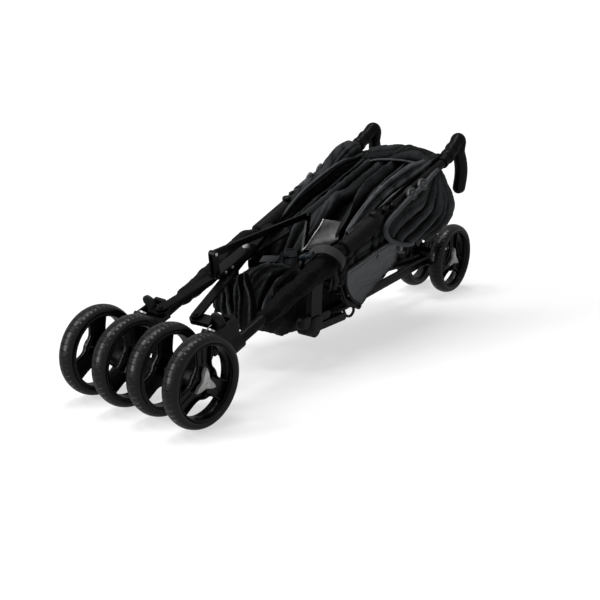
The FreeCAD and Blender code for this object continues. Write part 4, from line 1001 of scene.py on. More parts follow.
@dataclass
class Frame:
    """The CAD nodes that stay visible: tubes, housings, braces and hubs."""

    palette: Palette

    def build(self) -> None:
        """Give every node its finish."""
        choices = {
            "lacquer": ("main_tube", "rear_leg"),
            "nylon": ("caster_housing", "caster_fork", "hub_bracket", "axle_housing", "canopy_clamp",
                      "brake_pedal"),
            "steel": ("caster_pins", "rear_axle"),
            "bar": ("front_arm", "rear_arm", "canopy_bow"),
        }
        singles = {"front_hub": "nylon", "front_hub_rivets": "steel", "rear_hub": "nylon",
                   "lock_stay": "bar", "lock_link": "bar", "fold_latch": "nylon"}
        for finish, kinds in choices.items():
            for kind in kinds:
                for name, _ in SIDES:
                    self.paint(f"{name}_{kind}", getattr(self.palette, finish))
        for node, finish in singles.items():
            self.paint(node, getattr(self.palette, finish))

    def paint(self, node: str, material: bpy.types.Material) -> None:
        """Set the finish of a CAD node.

        Args:
            node: The node's name.
            material: Its finish.
        """
        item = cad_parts[node]
        if not item.material_slots:
            item.data.materials.append(material)
        for place in item.material_slots:
            place.material = material
        log.info("%s: %s", node, material.name)


# ------------------------------------------------------------------ cloth surfaces

def tube_point(y: float, side: float = 1.0) -> Vector:
    """Middle of a main tube, y metres behind the origin."""
    return Vector((side * (0.0896 + 0.030615 * (y + 0.403)), y, 0.0982 + 0.34163 * (y + 0.403)))


def beside_tube(y: float, turn: float, out: float, up: float, side: float = 1.0) -> Triple:
    """A point beside a main tube, turn radians from straight up, all in millimetres."""
    middle = tube_point(y * MM, side) / MM
    return (middle.x + side * out * math.sin(turn), y, middle.z + up * math.cos(turn))


def evenly(line: Line, count: int) -> list[Vector]:
    """Points spaced evenly along a line.

    Args:
        line: The line's points.
        count: How many to hand back.

    Returns:
        The points, both ends among them.
    """
    reach = reaches(line)
    found, place = [], 0
    for index in range(count):
        goal = reach[-1] * index / (count - 1)
        while place < len(line) - 2 and reach[place + 1] < goal:
            place += 1
        stretch = reach[place + 1] - reach[place]
        share = 0.0 if stretch < 1e-12 else min(1.0, (goal - reach[place]) / stretch)
        found.append(line[place].lerp(line[place + 1], share))
    return found


def wave(place: float, seed: float) -> float:
    """Smooth noise along one number, about -1 to 1."""
    return noise.noise(Vector((place, seed * 7.31, seed * 3.17))) * 2.0


def step_up(low: float, high: float, value: float) -> float:
    """Smooth step from 0 at low to 1 at high."""
    share = min(1.0, max(0.0, (value - low) / (high - low)))
    return share * share * (3 - 2 * share)


@dataclass(frozen=True)
class Gathers:
    """Folds of a sheet: how many, how deep, where they fade and how much they differ."""

    count: float
    depth: float
    across: bool = False
    start: float = 0.35
    end: float = 0.6
    uneven: float = 0.45
    wander: float = 0.5
    round: float = 0.7
    seed: int = 1

    def height(self, along: float, over: float) -> float:
        """Height of the folds.

        Args:
            along: Share of the way along the guides.
            over: Share of the way across them.

        Returns:
            Metres off the smooth surface.
        """
        run, place = (over, along) if self.across else (along, over)
        place = place * self.count + self.wander * wave(run * 2.1, self.seed)
        place += self.uneven * wave(place * 0.7, self.seed + 11)
        fold = math.floor(place)
        deep = 0.7 + 0.5 * wave(fold * 1.37 + 0.5, self.seed + 5)
        shape = abs(math.sin(math.pi * place)) ** self.round
        fade = self.start + (1 - self.start) * step_up(0.0, 0.3, run)
        fade *= self.end + (1 - self.end) * (1 - step_up(0.7, 1.0, run))
        return self.depth * deep * fade * (shape - 0.5)


def surface_normals(rows: Grid) -> list[list[Vector]]:
    """Normals of a grid of points.

    Args:
        rows: The points.

    Returns:
        A unit normal for each.
    """
    last, wide = len(rows) - 1, len(rows[0]) - 1
    found = []
    for i, row in enumerate(rows):
        normals = []
        for k, _ in enumerate(row):
            down = rows[min(i + 1, last)][k] - rows[max(i - 1, 0)][k]
            over = row[min(k + 1, wide)] - row[max(k - 1, 0)]
            normal = down.cross(over)
            normals.append(normal.normalized() if normal.length > 1e-12 else UP)
        found.append(normals)
    return found


@dataclass
class Cloth:
    """A thin sheet on smooth guide lines given in millimetres, gathered and wrinkled.

    The rows run along the guides and the columns go from the first guide to the last. The folds stand
    along the normal, which is the direction along the guides crossed with the direction across them.
    """

    name: str
    guides: Sequence[Sequence[Triple]]
    gathers: Sequence[Gathers] = ()
    rows: int = 80
    columns: int = 110
    thickness: float = 0.0010
    wrinkle: float = 0.0022
    crumple: float = 34.0
    seed: int = 3
    mirrored: bool = False
    depths: list = field(default_factory=list)
    steps: int = 10
    octaves: tuple = (0.8, 2.1, 5)
    # Fold depth given to the folds' middle height, for the painted shade in the cloth finish.
    ridge: float = 0.45

    def surface(self) -> list[list[Vector]]:
        """Points of the sheet's middle surface; the depth in the folds is kept beside them."""
        flip = -1.0 if self.mirrored else 1.0
        lines = [evenly(smooth_mm(guide, self.steps, flip), self.rows) for guide in self.guides]
        smooth = [evenly(smooth_line([line[index] for line in lines], self.steps), self.columns)
                  for index in range(self.rows)]
        normals = surface_normals(smooth)
        points = []
        deepest = sum(folds.depth for folds in self.gathers) or 1.0
        for i, row in enumerate(smooth):
            along = i / (self.rows - 1)
            placed, sunk = [], []
            for k, point in enumerate(row):
                over = k / (self.columns - 1)
                lift = sum(folds.height(along, over) for folds in self.gathers)
                # Fold depth of the point, which the cloth finish turns into painted shade in the channels.
                sunk.append(min(1.0, max(0.0, self.ridge - lift / deepest)))
                spot = point * self.crumple + ACROSS * self.seed
                lift += self.wrinkle * noise.fractal(spot, *self.octaves)
                placed.append(point + normals[i][k] * (lift * flip))
            points.append(placed)
            self.depths.append(sunk)
        return points

    def build(self, material: bpy.types.Material, body: Optional[str], slot: str, held: str,
              stands_for: Sequence[str] = (), rests_on: Sequence[str] = (),
              points: Optional[Grid] = None) -> bpy.types.Object:
        """Args:
            material: Its finish.
            body: The body that it rides on, or None where it is blended.
            slot: The record's material slot; not used.
            held: How the cloth is held; not used.
            stands_for: CAD nodes that it replaces.
            rests_on: What it hangs from; not used.
            points: Its middle surface, where it has been worked out already.

        Returns:
            The piece.
        """
        points = points or self.surface()
        normals = surface_normals(points)
        half = self.thickness / 2
        front, back = ([[p + n * off for p, n in zip(row, lean)] for row, lean in zip(points, normals)]
                       for off in (half, -half))
        draft = Draft(self.name).grid([f + list(reversed(b)) for f, b in zip(front, back)], around=True,
                                      depths=[d + [1.0 - v for v in reversed(d)] for d in self.depths])
        for end in (0, -1):
            draft.grid([front[end], back[end]])
        item = draft.close(smooth_angle=70)
        settle(item, material, body, stands_for)
        return item


def piped(name: str, line: Line, radius: float, material: bpy.types.Material, body: Optional[str],
          stands_for: Sequence[str] = (), flat: float = 1.0) -> bpy.types.Object:
    """A cord of piping along a line, or a bound edge where flat is below 1."""
    item = swept(name, line, lambda share: (radius, radius * flat), 10, UP)
    return settle(item, material, body, stands_for)


@dataclass
class Seam:
    """Row of short stitches that stands just proud of a cloth."""

    along: RepeatAlong
    material: bpy.types.Material
    pitch: float = 0.0042
    proud: float = 0.0014

    def line(self, rows: Grid, inset: int, towards: Vector) -> list[Vector]:
        """Line inside the cloth's outline, on the side that faces a direction.

        Args:
            rows: The cloth's points.
            inset: How many points in from each edge.
            towards: Where the visible side faces.

        Returns:
            The line's points.
        """
        normals = surface_normals(rows)
        last, end = len(rows) - 1 - inset, len(rows[0]) - 1 - inset
        steps = [(k, inset) for k in range(inset, last + 1)]
        steps += [(last, k) for k in range(inset + 1, end + 1)]
        steps += [(k, end) for k in range(last - 1, inset - 1, -1)]
        points = []
        for row, column in steps:
            normal = normals[row][column]
            if normal.dot(towards) < 0:
                normal = -normal
            points.append(rows[row][column] + normal * self.proud)
        return points

    def sew(self, name: str, line: Line, body: Optional[str]) -> bpy.types.Object:
        """Sew along a line.

        Args:
            name: The piece's name.
            line: The seam's points.
            body: The body that it rides on, or None where it is blended.

        Returns:
            The row of stitches.
        """
        profile = ((0.0001, -0.0014), (0.0005, -0.0010), (0.0006, 0.0), (0.0005, 0.0010),
                   (0.0001, 0.0014))
        stitches = self.along.build(Draft(name).lathe(profile, 6), line, self.pitch, self.material)
        return settle(stitches, self.material, body)


# ------------------------------------------------------------------ canopy

@dataclass
class Canopy:
    """Canopy of one side: gathered bundle outside the tube, wing above it, piping and snap discs."""

    side_name: str
    side: float
    palette: Palette
    along: RepeatAlong

    outer: tuple = (
        ((104, 250, 331), (105, 222, 318), (106, 179, 302), (107, 135, 288), (108, 97, 272),
         (109, 70, 260), (110, 60, 250)),
        ((113, 252, 330), (115, 222, 316), (117, 179, 300), (118, 135, 286), (118, 97, 269),
         (117, 69, 257), (116, 58, 244)),
        ((113, 260, 327), (118, 231, 307), (121, 186, 287), (122, 141, 271), (121, 109, 256),
         (120, 85, 243), (117, 70, 228)),
        ((113, 267, 325), (119, 247, 303), (122, 215, 279), (123, 170, 257), (123, 131, 240),
         (121, 109, 225), (117, 96, 209)),
        ((112, 276, 323), (118, 271, 295), (122, 251, 267), (123, 214, 241), (123, 174, 223),
         (121, 147, 208), (116, 132, 193)),
        ((111, 286, 321), (117, 295, 288), (121, 286, 257), (123, 254, 231), (122, 219, 211),
         (120, 195, 197), (115, 182, 188)),
        ((110, 292, 320), (114, 317, 280), (118, 326, 249), (120, 305, 222), (120, 270, 202),
         (117, 250, 191), (112, 242, 184)),
        ((106, 296, 320), (104, 336, 272), (103, 355, 238), (103, 344, 215), (103, 314, 198),
         (103, 299, 191), (101, 291, 187)),
        ((98, 290, 322), (88, 318, 280), (82, 330, 246), (80, 310, 222), (80, 276, 205),
         (82, 256, 197), (86, 248, 192)),
        ((92, 272, 324), (79, 270, 292), (72, 254, 264), (70, 218, 240), (72, 178, 224),
         (76, 150, 212), (82, 136, 202)),
        ((92, 256, 324), (82, 230, 302), (77, 190, 282), (76, 146, 264), (78, 114, 248),
         (84, 92, 232), (92, 80, 222)),
    )
    hem: tuple = ((116, 262, 327), (121, 226, 315), (125, 180, 300), (126, 136, 286), (126, 98, 270),
                  (125, 68, 256), (124, 52, 242), (123, 54, 227), (123, 76, 210), (122, 112, 197),
                  (120, 152, 188), (112, 184, 184))
    crest: tuple = ((75, 316, 340), (75, 271, 334), (75, 221, 332), (75, 165, 319), (75, 112, 302),
                    (75, 68, 285), (75, 33, 266), (75, 5, 248), (76, -14, 234))

    def wing_guides(self) -> list:
        """Guide lines of the wing, from the slack inner edge over the crest to the tube."""
        lean = 0.0 if self.side > 0 else 13.0
        crest = [(x + lean, y, z - 0.8 * lean) for x, y, z in self.crest]
        inner = [(x - 13 + lean * 0.6, y - 2, z - 24 - 5 * math.sin(index))
                 for index, (x, y, z) in enumerate(crest)]
        low = []
        for y in (292, 246, 200, 154, 108, 66, 30, -2, -34):
            point = tube_point(y * MM) / MM
            low.append((point.x - 8.5, y, point.z + 12.5))
        middle = [((a + d) / 2 + 1, (b + e) / 2, (c + f) / 2 + 2)
                  for (a, b, c), (d, e, f) in zip(crest, low)]
        return [inner, [(x - 5, y, z - 9) for x, y, z in crest], crest, middle, low]

    def disc(self, y: float) -> None:
        """Domed snap disc beside the tube, with a ring and a dimple.

        Args:
            y: Millimetres behind the origin.
        """
        middle = tube_point(y * MM, self.side) / MM
        profile = [(0.01, -4.0), (10.0, -4.0), (12.0, -1.5), (12.6, 2.0), (11.6, 4.6), (9.8, 5.4), (9.0, 3.4),
                   (8.0, 3.4), (6.8, 6.0), (4.0, 7.2), (2.6, 5.6), (0.01, 5.4)]
        draft = Draft(f"{self.side_name}_snap_disc_{int(y)}").lathe(scaled(profile), 36)
        place = facing(Vector((middle.x + self.side * 16.5, y, middle.z + 7.0)) * MM,
                       Vector((self.side, -0.25, 0.35)), UP)
        settle(draft.close(smooth_angle=35, place=place), self.palette.disc, f"canopy_{self.side_name}")

    def build(self) -> None:
        """Build both sheets, their piping and stitches, and the snap discs."""
        name, palette, near = self.side_name, self.palette, self.side > 0
        node, body = f"{name}_canopy_fabric", f"canopy_{name}"
        bundle = Cloth(f"{name}_canopy_bundle", self.outer,
                       (Gathers(10, 0.0165, start=0.3, end=0.75, seed=4 if near else 21, wander=0.3,
                                round=1.3),
                        Gathers(23, 0.0044, start=0.5, end=0.7, seed=9, wander=0.9)),
                       rows=96, columns=220, seed=5 if near else 31, mirrored=not near)
        points = bundle.surface()
        bundle.build(palette.canopy, body, "canopy_cloth", "gathered", [node], [f"{name}_main_tube"], points)
        piped(f"{name}_canopy_roll", smooth_mm(self.hem, 14, self.side), 0.0052, palette.piping, body,
              [node])
        wing = Cloth(f"{name}_canopy_wing", self.wing_guides(),
                     (Gathers(3.4, 0.0085, start=0.7, end=0.9, seed=8, wander=0.5, uneven=0.6, round=1.2),
                      Gathers(5, 0.0022, across=True, start=0.2, end=1.0, seed=14, wander=1.2)),
                     rows=130, columns=84, seed=8 if near else 40, mirrored=not near)
        points = wing.surface()
        wing.build(palette.wing, body, "canopy_cloth", "gathered", [node], [f"{name}_main_tube"], points)
        ridge = smooth_mm([(x, y, z + 3.0) for x, y, z in self.wing_guides()[2]], 12, self.side)
        piped(f"{name}_canopy_piping", ridge, 0.0034, palette.piping, body,
              [node, f"{name}_canopy_bow"])
        seam = Seam(self.along, palette.piping, pitch=0.0046)
        row = len(points[0]) * 2 // 3
        sewn = [line[row] + (normal[row] if normal[row].dot(UP) > 0 else -normal[row]) * 0.0016
                for line, normal in zip(points, surface_normals(points))]
        seam.sew(f"{name}_wing_stitches", sewn, body)
        for y in (146, 186):
            self.disc(y)


@dataclass
class CanopyRear:
    """Rear band of the canopy, draped from tube to tube over the folded bundle, with its cover behind."""

    palette: Palette

    top: tuple = ((-101, 300, 322), (-86, 300, 333), (-66, 300, 342), (-41, 300, 352), (-6, 300, 357),
                  (28, 300, 359), (57, 300, 357), (84, 300, 351), (99, 300, 348))

    def guides(self) -> list:
        """Guide lines from the front hem over the top to the low rear edge."""
        shifts = ((-24, -26), (-20, -14), (0, 0), (16, -6), (26, -30), (30, -66), (24, -98))
        lines = []
        for index, (back, rise) in enumerate(shifts):
            sag = 0.16 * max(0, index - 3)
            lines.append([(x * (1 - sag * abs(x) / 100), y + back, z + rise) for x, y, z in self.top])
        return lines

    def build(self) -> None:
        """Build the band and its front hem."""
        band = Cloth("canopy_rear_band", self.guides(),
                     (Gathers(5.5, 0.006, seed=17, start=0.6, end=0.7, wander=0.8),
                      Gathers(9, 0.005, across=True, start=0.1, end=0.8, seed=19, wander=1.2)),
                     rows=110, columns=96, seed=12)
        points = band.surface()
        item = band.build(self.palette.band, None, "canopy_cloth", "draped", ["left_canopy_fabric"],
                          ["left_main_tube", "right_main_tube"], points)
        hem = piped("canopy_rear_hem", evenly([row[0] for row in points], 90), 0.0022, self.palette.piping,
                    None, ["left_canopy_fabric"])
        for piece in (item, hem):
            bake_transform(piece)


@dataclass
class FarWrap:
    """Cloth wound round the right tube, with the slack pouch over its rear end."""

    palette: Palette

    def guides(self) -> list:
        """Guide lines at several angles round the tube."""
        stations = (22, 60, 110, 160, 184, 204, 228, 252, 276, 292, 302)
        swell = (0, 0, 0, 0, 1, 10, 17, 18, 13, 5, 0)
        lines = []
        for angle in (-150, -105, -60, -20, 20, 60, 105, 150):
            turn = math.radians(angle)
            reach = [15 + more * max(0.0, math.cos(turn)) for more in swell]
            lines.append([beside_tube(y, turn, out, out, -1.0) for y, out in zip(stations, reach)])
        return lines

    def build(self) -> None:
        """Build the wrap."""
        Cloth("right_tube_wrap", self.guides(),
              (Gathers(6, 0.0032, start=0.7, end=0.5, seed=33, wander=0.7),
               Gathers(5, 0.0016, across=True, seed=35, wander=0.8)),
              rows=110, columns=90, seed=51).build(
                  self.palette.canopy, "canopy_right", "canopy_cloth", "gathered",
                  ["right_canopy_fabric"], ["right_main_tube"])


# ------------------------------------------------------------------ seat

@dataclass
class Seat:
    """Seat sling folded lengthwise between the tubes, its patch, and the sleeves round the tubes."""

    palette: Palette
    along: RepeatAlong

    stations: tuple = (-48, -34, 0, 50, 100, 150, 210, 270, 326)
    front: tuple = ((90, -6), (76, -26), (58, -48), (34, -60), (14, -56), (0, -38), (-10, -10), (-24, 8),
                    (-44, -2), (-66, -14), (-90, -6))
    rear: tuple = ((84, -10), (68, -20), (50, -14), (32, -18), (14, -12), (-2, -16), (-18, -12), (-34, -18),
                   (-50, -12), (-68, -18), (-84, -10))

    def guides(self, drop: float = 0.0) -> list:
        """Guide lines along the tubes.

        Args:
            drop: How far the surface hangs below the upper one, in the middle.

        Returns:
            One line for each place across the seat.
        """
        half_width, fall, narrowing = 92, 62, 0.12
        lines = []
        for (x0, z0), (x1, z1) in zip(self.front, self.rear):
            line = []
            for y in self.stations:
                share = step_up(60, 170, y)
                x, z = x0 + (x1 - x0) * share, z0 + (z1 - z0) * share
                level = tube_point(y * MM).z / MM
                hang = drop * (1 - (abs(x) / half_width) ** 2)
                fallen = 1 - step_up(-50, -16, y)
                z = z * (1 - fallen) - fall * fallen
                line.append((x * (1 - narrowing * fallen), y, level + z - hang * (1 - fallen)))
            lines.append(line)
        return lines

    def patch(self) -> None:
        """Blank patch that hangs over the front of the sling."""
        a, b, c, d = (Vector(corner) for corner in ((0.004, 0.010, 0.246), (0.004, 0.082, 0.228),
                                                    (0.024, 0.010, 0.184), (0.010, -0.066, 0.199)))
        high, wide = 24, 16
        rows = []
        for i in range(high):
            s = i / (high - 1)
            row = []
            for k in range(wide):
                t = k / (wide - 1)
                point = (a.lerp(d, s)).lerp(b.lerp(c, s), t)
                point.x += 0.002 * wave(s * 3 + t, 3) + 0.004 * math.sin(math.pi * s)
                row.append(point)
            rows.append(row)
        cut = Cloth("blank_patch", ((), ()), rows=high, columns=wide, thickness=0.0012)
        item = cut.build(self.palette.patch, None, "seat_cloth", "laid", ["seat_fabric"],
                         ["seat_sling"], rows)
        seam = Seam(self.along, self.palette.strap, proud=0.0009)
        stitches = seam.sew("blank_patch_stitches", seam.line(rows, 1, Vector((1, -1, 1))), None)
        for piece in (item, stitches):
            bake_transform(piece)

    def sleeves(self) -> None:
        """Ribbed sleeve round each tube, where the seat hangs from it."""
        for name, side in SIDES:
            line = [tube_point(y * MM, side) for y in range(-62, 46, 2)]
            tube = swept(f"{name}_tube_sleeve", line, lambda share: (0.0152, 0.0152), 28, smooth_angle=50)
            rib = Draft("rib").lathe(
                scaled([(15.0, -1.2), (16.2, -0.8), (16.5, 0.0), (16.2, 0.8), (15.0, 1.2)]), 24)
            ribs = self.along.build(rib, line[1:-1], 0.0046, self.palette.sleeve)
            piece = joined(f"{name}_ribbed_sleeve", [tube, ribs])
            settle(piece, self.palette.sleeve, f"{name}_frame", ["seat_fabric"])

    def build(self) -> None:
        """Build the sling, its underside, the patch and the sleeves."""
        palette = self.palette
        upper = Cloth("seat_sling", self.guides(),
                      (Gathers(7, 0.024, start=0.4, end=0.9, seed=23, wander=0.3, uneven=0.25, round=1.9),
                       Gathers(17, 0.003, start=0.8, end=0.6, seed=27, wander=1.1)),
                      rows=130, columns=190, seed=61)
        points = upper.surface()
        item = upper.build(palette.seat, None, "seat_cloth", "folded", ["seat_fabric"],
                           ["left_main_tube", "right_main_tube"], points)
        under = Cloth("seat_underside", self.guides(38.0),
                      (Gathers(5, 0.007, start=0.5, end=0.7, seed=29, wander=0.8),
                       Gathers(6, 0.004, across=True, seed=37, wander=0.9)),
                      rows=90, columns=110, seed=71)
        lower = under.build(palette.lining, None, "seat_cloth", "hung", ["seat_fabric"],
                            ["left_main_tube", "right_main_tube"])
        for piece in (item, lower):
            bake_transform(piece)
        self.patch()
        self.sleeves()


@dataclass
class TubeCloth:
    """Seat cloth on one main tube: the padded cover of its front part and the skirt under it."""

    name: str
    side: float
    palette: Palette

    def cover(self) -> None:
        """Padded cover, fullest over the bracket."""
        stations = (-306, -292, -260, -215, -180, -150, -120, -95, -76)
        bulk = (11.5, 15, 17, 18, 20, 24, 26, 22, 14)
        lines = []
        for angle in (-178, -130, -85, -40, 0, 40, 85, 130, 178):
            turn = math.radians(angle)
            flat = [1.0 - 0.25 * abs(math.sin(turn)) * step_up(-200, -150, y) for y in stations]
            lines.append([beside_tube(y, turn, reach * share, reach)
                          for y, reach, share in zip(stations, bulk, flat)])
        Cloth(f"{self.name}_leg_cover", lines,
              (Gathers(4, 0.0022, start=0.7, end=0.7, seed=87, wander=0.8),
               Gathers(6, 0.0022, across=True, seed=89, wander=0.9)),
              rows=90, columns=72, seed=101, mirrored=self.side < 0).build(
                  self.palette.cover, f"{self.name}_frame", "seat_cloth", "gathered", ["seat_fabric"],
                  [f"{self.name}_main_tube"])

    def skirt(self) -> None:
        """Slack cloth that hangs from the tube to behind the grey pocket."""
        lines = []
        for y, low in ((-96, 150), (-60, 150), (-20, 152), (24, 158), (68, 166), (112, 176), (156, 186),
                       (196, 200)):
            middle = tube_point(y * MM) / MM
            top = middle.z - 12
            lines.append([(middle.x - 2, y, top), (middle.x - 7, y + 2, top * 0.7 + low * 0.3),
                          (95, y - 2, (top + low) / 2), (93, y, low), (88, y + 4, low - 14)])
        Cloth(f"{self.name}_seat_skirt", lines,
              (Gathers(9, 0.0075, start=0.5, end=1.0, seed=97, wander=0.5, round=1.1),
               Gathers(3, 0.003, across=True, seed=103, wander=1.0)),
              rows=60, columns=150, seed=107, mirrored=self.side < 0).build(
                  self.palette.seat, f"{self.name}_frame", "seat_cloth", "hung", ["seat_fabric"],
                  [f"{self.name}_main_tube"])

    def build(self) -> None:
        """Build the cover and the skirt."""
        self.cover()
        self.skirt()


# ------------------------------------------------------------------ basket and straps

@dataclass
class Basket:
    """Slack bag under the hubs, its cover and front curtains, and the grey pocket beside each leg."""

    palette: Palette
    along: RepeatAlong

    def bag_guides(self) -> list:
        """Guide lines of the bag, each across it, from its front rim round the floor to its rear rim."""
        section = ((1.0, 0.98), (1.02, 0.6), (0.94, 0.22), (0.55, 0.02), (0.0, -0.02), (-0.55, 0.03),
                   (-0.94, 0.24), (-1.02, 0.62), (-1.0, 0.98))
        outline = ((-206, 128, 160), (-198, 92, 160), (-178, 66, 160), (-142, 50, 158), (-100, 47, 156),
                   (-40, 50, 124), (14, 60, 117), (44, 76, 116), (58, 100, 117))
        half = [58 * (0.84 + 0.16 * math.sin(math.pi * index / (len(outline) - 1)))
                for index in range(len(outline))]
        return [[(reach * wide, y, floor + (rim - floor) * share)
                 for reach, (y, floor, rim) in zip(half, outline)] for wide, share in section]

    def curtain(self) -> None:
        """Front cloth that hangs in folds from the arms."""
        flaps = (("far", ((-40, -206, 158), (-54, -212, 155), (-68, -204, 152), (-84, -214, 148),
                          (-98, -208, 144)), (0, -20, -44, -62, -74), 43),
                 ("near", ((22, -232, 186), (8, -238, 184), (-6, -230, 182), (-20, -238, 178),
                           (-34, -232, 172)), (2, -28, -62, -92, -116), 83))
        for name, top, drops, seed in flaps:
            lines = []
            for index, (x, y, z) in enumerate(top):
                middle = top[2][0]
                lines.append([(middle + (x - middle) * (0.4 + 0.17 * step) + 3 * math.sin(step + index),
                               y + (2 - index % 3) * 2 * step,
                               z + drop * (1 - 0.09 * abs(index - 2))) for step, drop in enumerate(drops)])
            Cloth(f"basket_curtain_{name}", lines,
                  (Gathers(3.2, 0.010, start=0.4, end=1.0, seed=seed, wander=0.3, round=1.2),
                   Gathers(8, 0.002, seed=47, wander=1.0)),
                  rows=70, columns=70, seed=seed + 1).build(
                      self.palette.front, "right_frame", "seat_cloth", "hung", ["basket_fabric"],
                      ["right_main_tube"])

    def cover(self) -> None:
        """Crumpled flap over the mouth of the bag."""
        stations = ((-214, 96, 0.7), (-210, 128, 0.8), (-184, 158, 0.94), (-140, 166, 1.0), (-100, 158, 1.0),
                    (-60, 136, 1.0), (-10, 122, 1.0), (30, 118, 0.96), (54, 114, 0.88))
        lines = [[(x * share, y, z + 10 * math.cos(x / 36)) for y, z, share in stations]
                 for x in (-56, -34, -12, 12, 34, 56)]
        item = Cloth("basket_cover", lines,
                     (Gathers(5, 0.012, start=0.7, end=0.9, seed=73, wander=0.5, round=1.4),
                      Gathers(5, 0.006, across=True, seed=79, wander=1.0)),
                     rows=80, columns=90, seed=99).build(
                         self.palette.front, None, "seat_cloth", "laid", ["basket_fabric"], ["basket_bag"])
        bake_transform(item)

    def pocket(self, name: str, side: float) -> None:
        """Flat grey pocket beside a leg, with its bound edges.

        Args:
            name: The side's name.
            side: 1 for the left, -1 for the right.
        """
        guides = (((99, -44, 168), (100, 4, 178), (100, 48, 187), (100, 92, 194), (98, 136, 196),
                   (95, 156, 188)),
                  ((95, -36, 138), (95, 6, 143), (94, 48, 150), (94, 94, 157), (93, 140, 166),
                   (92, 160, 170)),
                  ((92, -12, 106), (92, 14, 108), (91, 50, 116), (91, 94, 131), (91, 138, 147),
                   (91, 160, 155)),
                  ((91, 18, 88), (91, 30, 86), (91, 54, 98), (90, 92, 116), (90, 136, 136),
                   (90, 156, 146)))
        sheet = Cloth(f"{name}_pocket", guides,
                      (Gathers(4, 0.0022, seed=53, wander=1.1, uneven=0.8),
                       Gathers(3, 0.002, across=True, seed=59)),
                      rows=70, columns=44, thickness=0.0016, wrinkle=0.0018, seed=91, mirrored=side < 0)
        points = sheet.surface()
        body = f"{name}_frame"
        sheet.build(self.palette.panel, body, "seat_cloth", "hung", ["basket_fabric"],
                    [f"{name}_rear_leg"], points)
        ring = ([row[0] for row in points] + points[-1][1:] + [row[-1] for row in reversed(points[:-1])]
                + list(reversed(points[0]))[1:])
        piped(f"{name}_pocket_binding", evenly(ring, 200), 0.0030, self.palette.strap, body,
              ["basket_fabric"], flat=0.6)
        seam = Seam(self.along, self.palette.strap)
        seam.sew(f"{name}_pocket_stitches", seam.line(points, 4, Vector((side, 0, 0.2))), body)

    def build(self) -> None:
        """Build the bag, the curtains, the cover and the pockets."""
        bag = Cloth("basket_bag", self.bag_guides(),
                    (Gathers(5, 0.005, across=True, start=0.8, end=0.8, seed=63, wander=0.8),
                     Gathers(7, 0.002, seed=67)),
                    rows=80, columns=110, seed=95)
        item = bag.build(self.palette.lining, None, "seat_cloth", "hung", ["basket_fabric"],
                         ["left_rear_leg", "right_rear_leg"])
        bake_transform(item)
        self.curtain()
        self.cover()
        for name, side in SIDES:
            self.pocket(name, side)


@dataclass
class Straps:
    """Harness webbing, buckle halves and loops that hang in the folded seat."""

    palette: Palette

    def ribbon(self, name: str, points: Sequence[Triple], wide: float, lean: Triple,
               material: bpy.types.Material) -> None:
        """A flat strap along points in millimetres, its width in metres and towards lean."""
        strap = swept(name, smooth_mm(points, 12), lambda share: (wide / 2, 0.0011), 12, Vector(lean))
        settle(strap, material, "left_frame", ["seat_fabric"])

    def buckle(self, name: str, at: Triple, run: Triple, up: Triple, size: Triple) -> None:
        """A rounded buckle half with a raised rim.

        Args:
            name: The piece's name.
            at: Its middle in millimetres.
            run: Where its length points.
            up: Where its face points.
            size: Length, width and depth in metres.
        """
        length, width, depth = size
        rows = []
        for share, grow in ((0.0, 0.55), (0.06, 0.86), (0.16, 1.0), (0.5, 1.0), (0.8, 0.92), (0.93, 0.8),
                            (1.0, 0.5)):
            row = []
            for k in range(28):
                angle = math.tau * k / 28
                across, high = rounded(angle, 0.5)
                y = high * depth / 2 * (0.7 + 0.3 * grow)
                if math.sin(angle) > 0.3 and abs(math.cos(angle)) < 0.6 and 0.1 < share < 0.9:
                    y *= 0.7
                row.append(Vector((across * width / 2 * grow, y, (share - 0.5) * length)))
            rows.append(row)
        along = Vector(run)
        place = facing(Vector(at) * MM, along, Vector(up).cross(along))
        item = Draft(name).grid(rows, around=True, caps=True).close(smooth_angle=45, place=place)
        settle(item, self.palette.buckle, "left_frame")

    def build(self) -> None:
        """Build every strap and both buckle halves."""
        palette = self.palette
        hugging = [beside_tube(y, math.radians(angle), reach, reach) for angle, y, reach in (
            (-46, -140, 32), (-20, -137, 37), (8, -131, 38), (36, -123, 36), (64, -113, 33), (92, -104, 30),
            (120, -98, 27))]
        for strap in (
                ("crotch_webbing", ((44, -208, 152), (42, -188, 160), (40, -164, 168), (40, -140, 178),
                                    (40, -130, 190)), 0.024, (0.2, -0.3, 1), palette.webbing),
                ("leaf_tab", ((24, -217, 212), (24, -203, 210), (24, -184, 206), (24, -167, 203)), 0.016,
                 (0.5, -0.4, 0.8), palette.panel),
                ("side_strap", ((70, -168, 168), (70, -150, 172), (70, -120, 182), (70, -94, 192)), 0.013,
                 (1, 0.1, 0.2), palette.strap),
                ("grey_strap", hugging, 0.019, (-0.6, 0.6, 0.5), palette.grey_webbing),
                ("harness_loop", ((60, -72, 146), (60, -76, 168), (60, -62, 190), (60, -38, 202),
                                  (60, -12, 196), (60, -4, 176), (60, -16, 156), (60, -34, 144)), 0.014,
                 (1, 0, 0), palette.strap),
                ("waist_strap", ((30, -120, 206), (46, -96, 200), (58, -66, 206), (62, -30, 214),
                                 (58, 10, 216)), 0.016, (0.2, -0.6, 0.8), palette.strap)):
            self.ribbon(*strap)
        self.buckle("buckle_body", (31, -136, 208), (0.2, 0.9, -0.1), (0.8, -0.3, 0.5),
                    (0.026, 0.019, 0.010))
        middle = tube_point(-0.142) / MM
        self.buckle("buckle_tongue", (middle.x - 24, -142, middle.z + 25), (0.9, -0.1, 0.35),
                    (-0.35, -0.2, 0.9), (0.032, 0.024, 0.010))


# ------------------------------------------------------------------ fittings

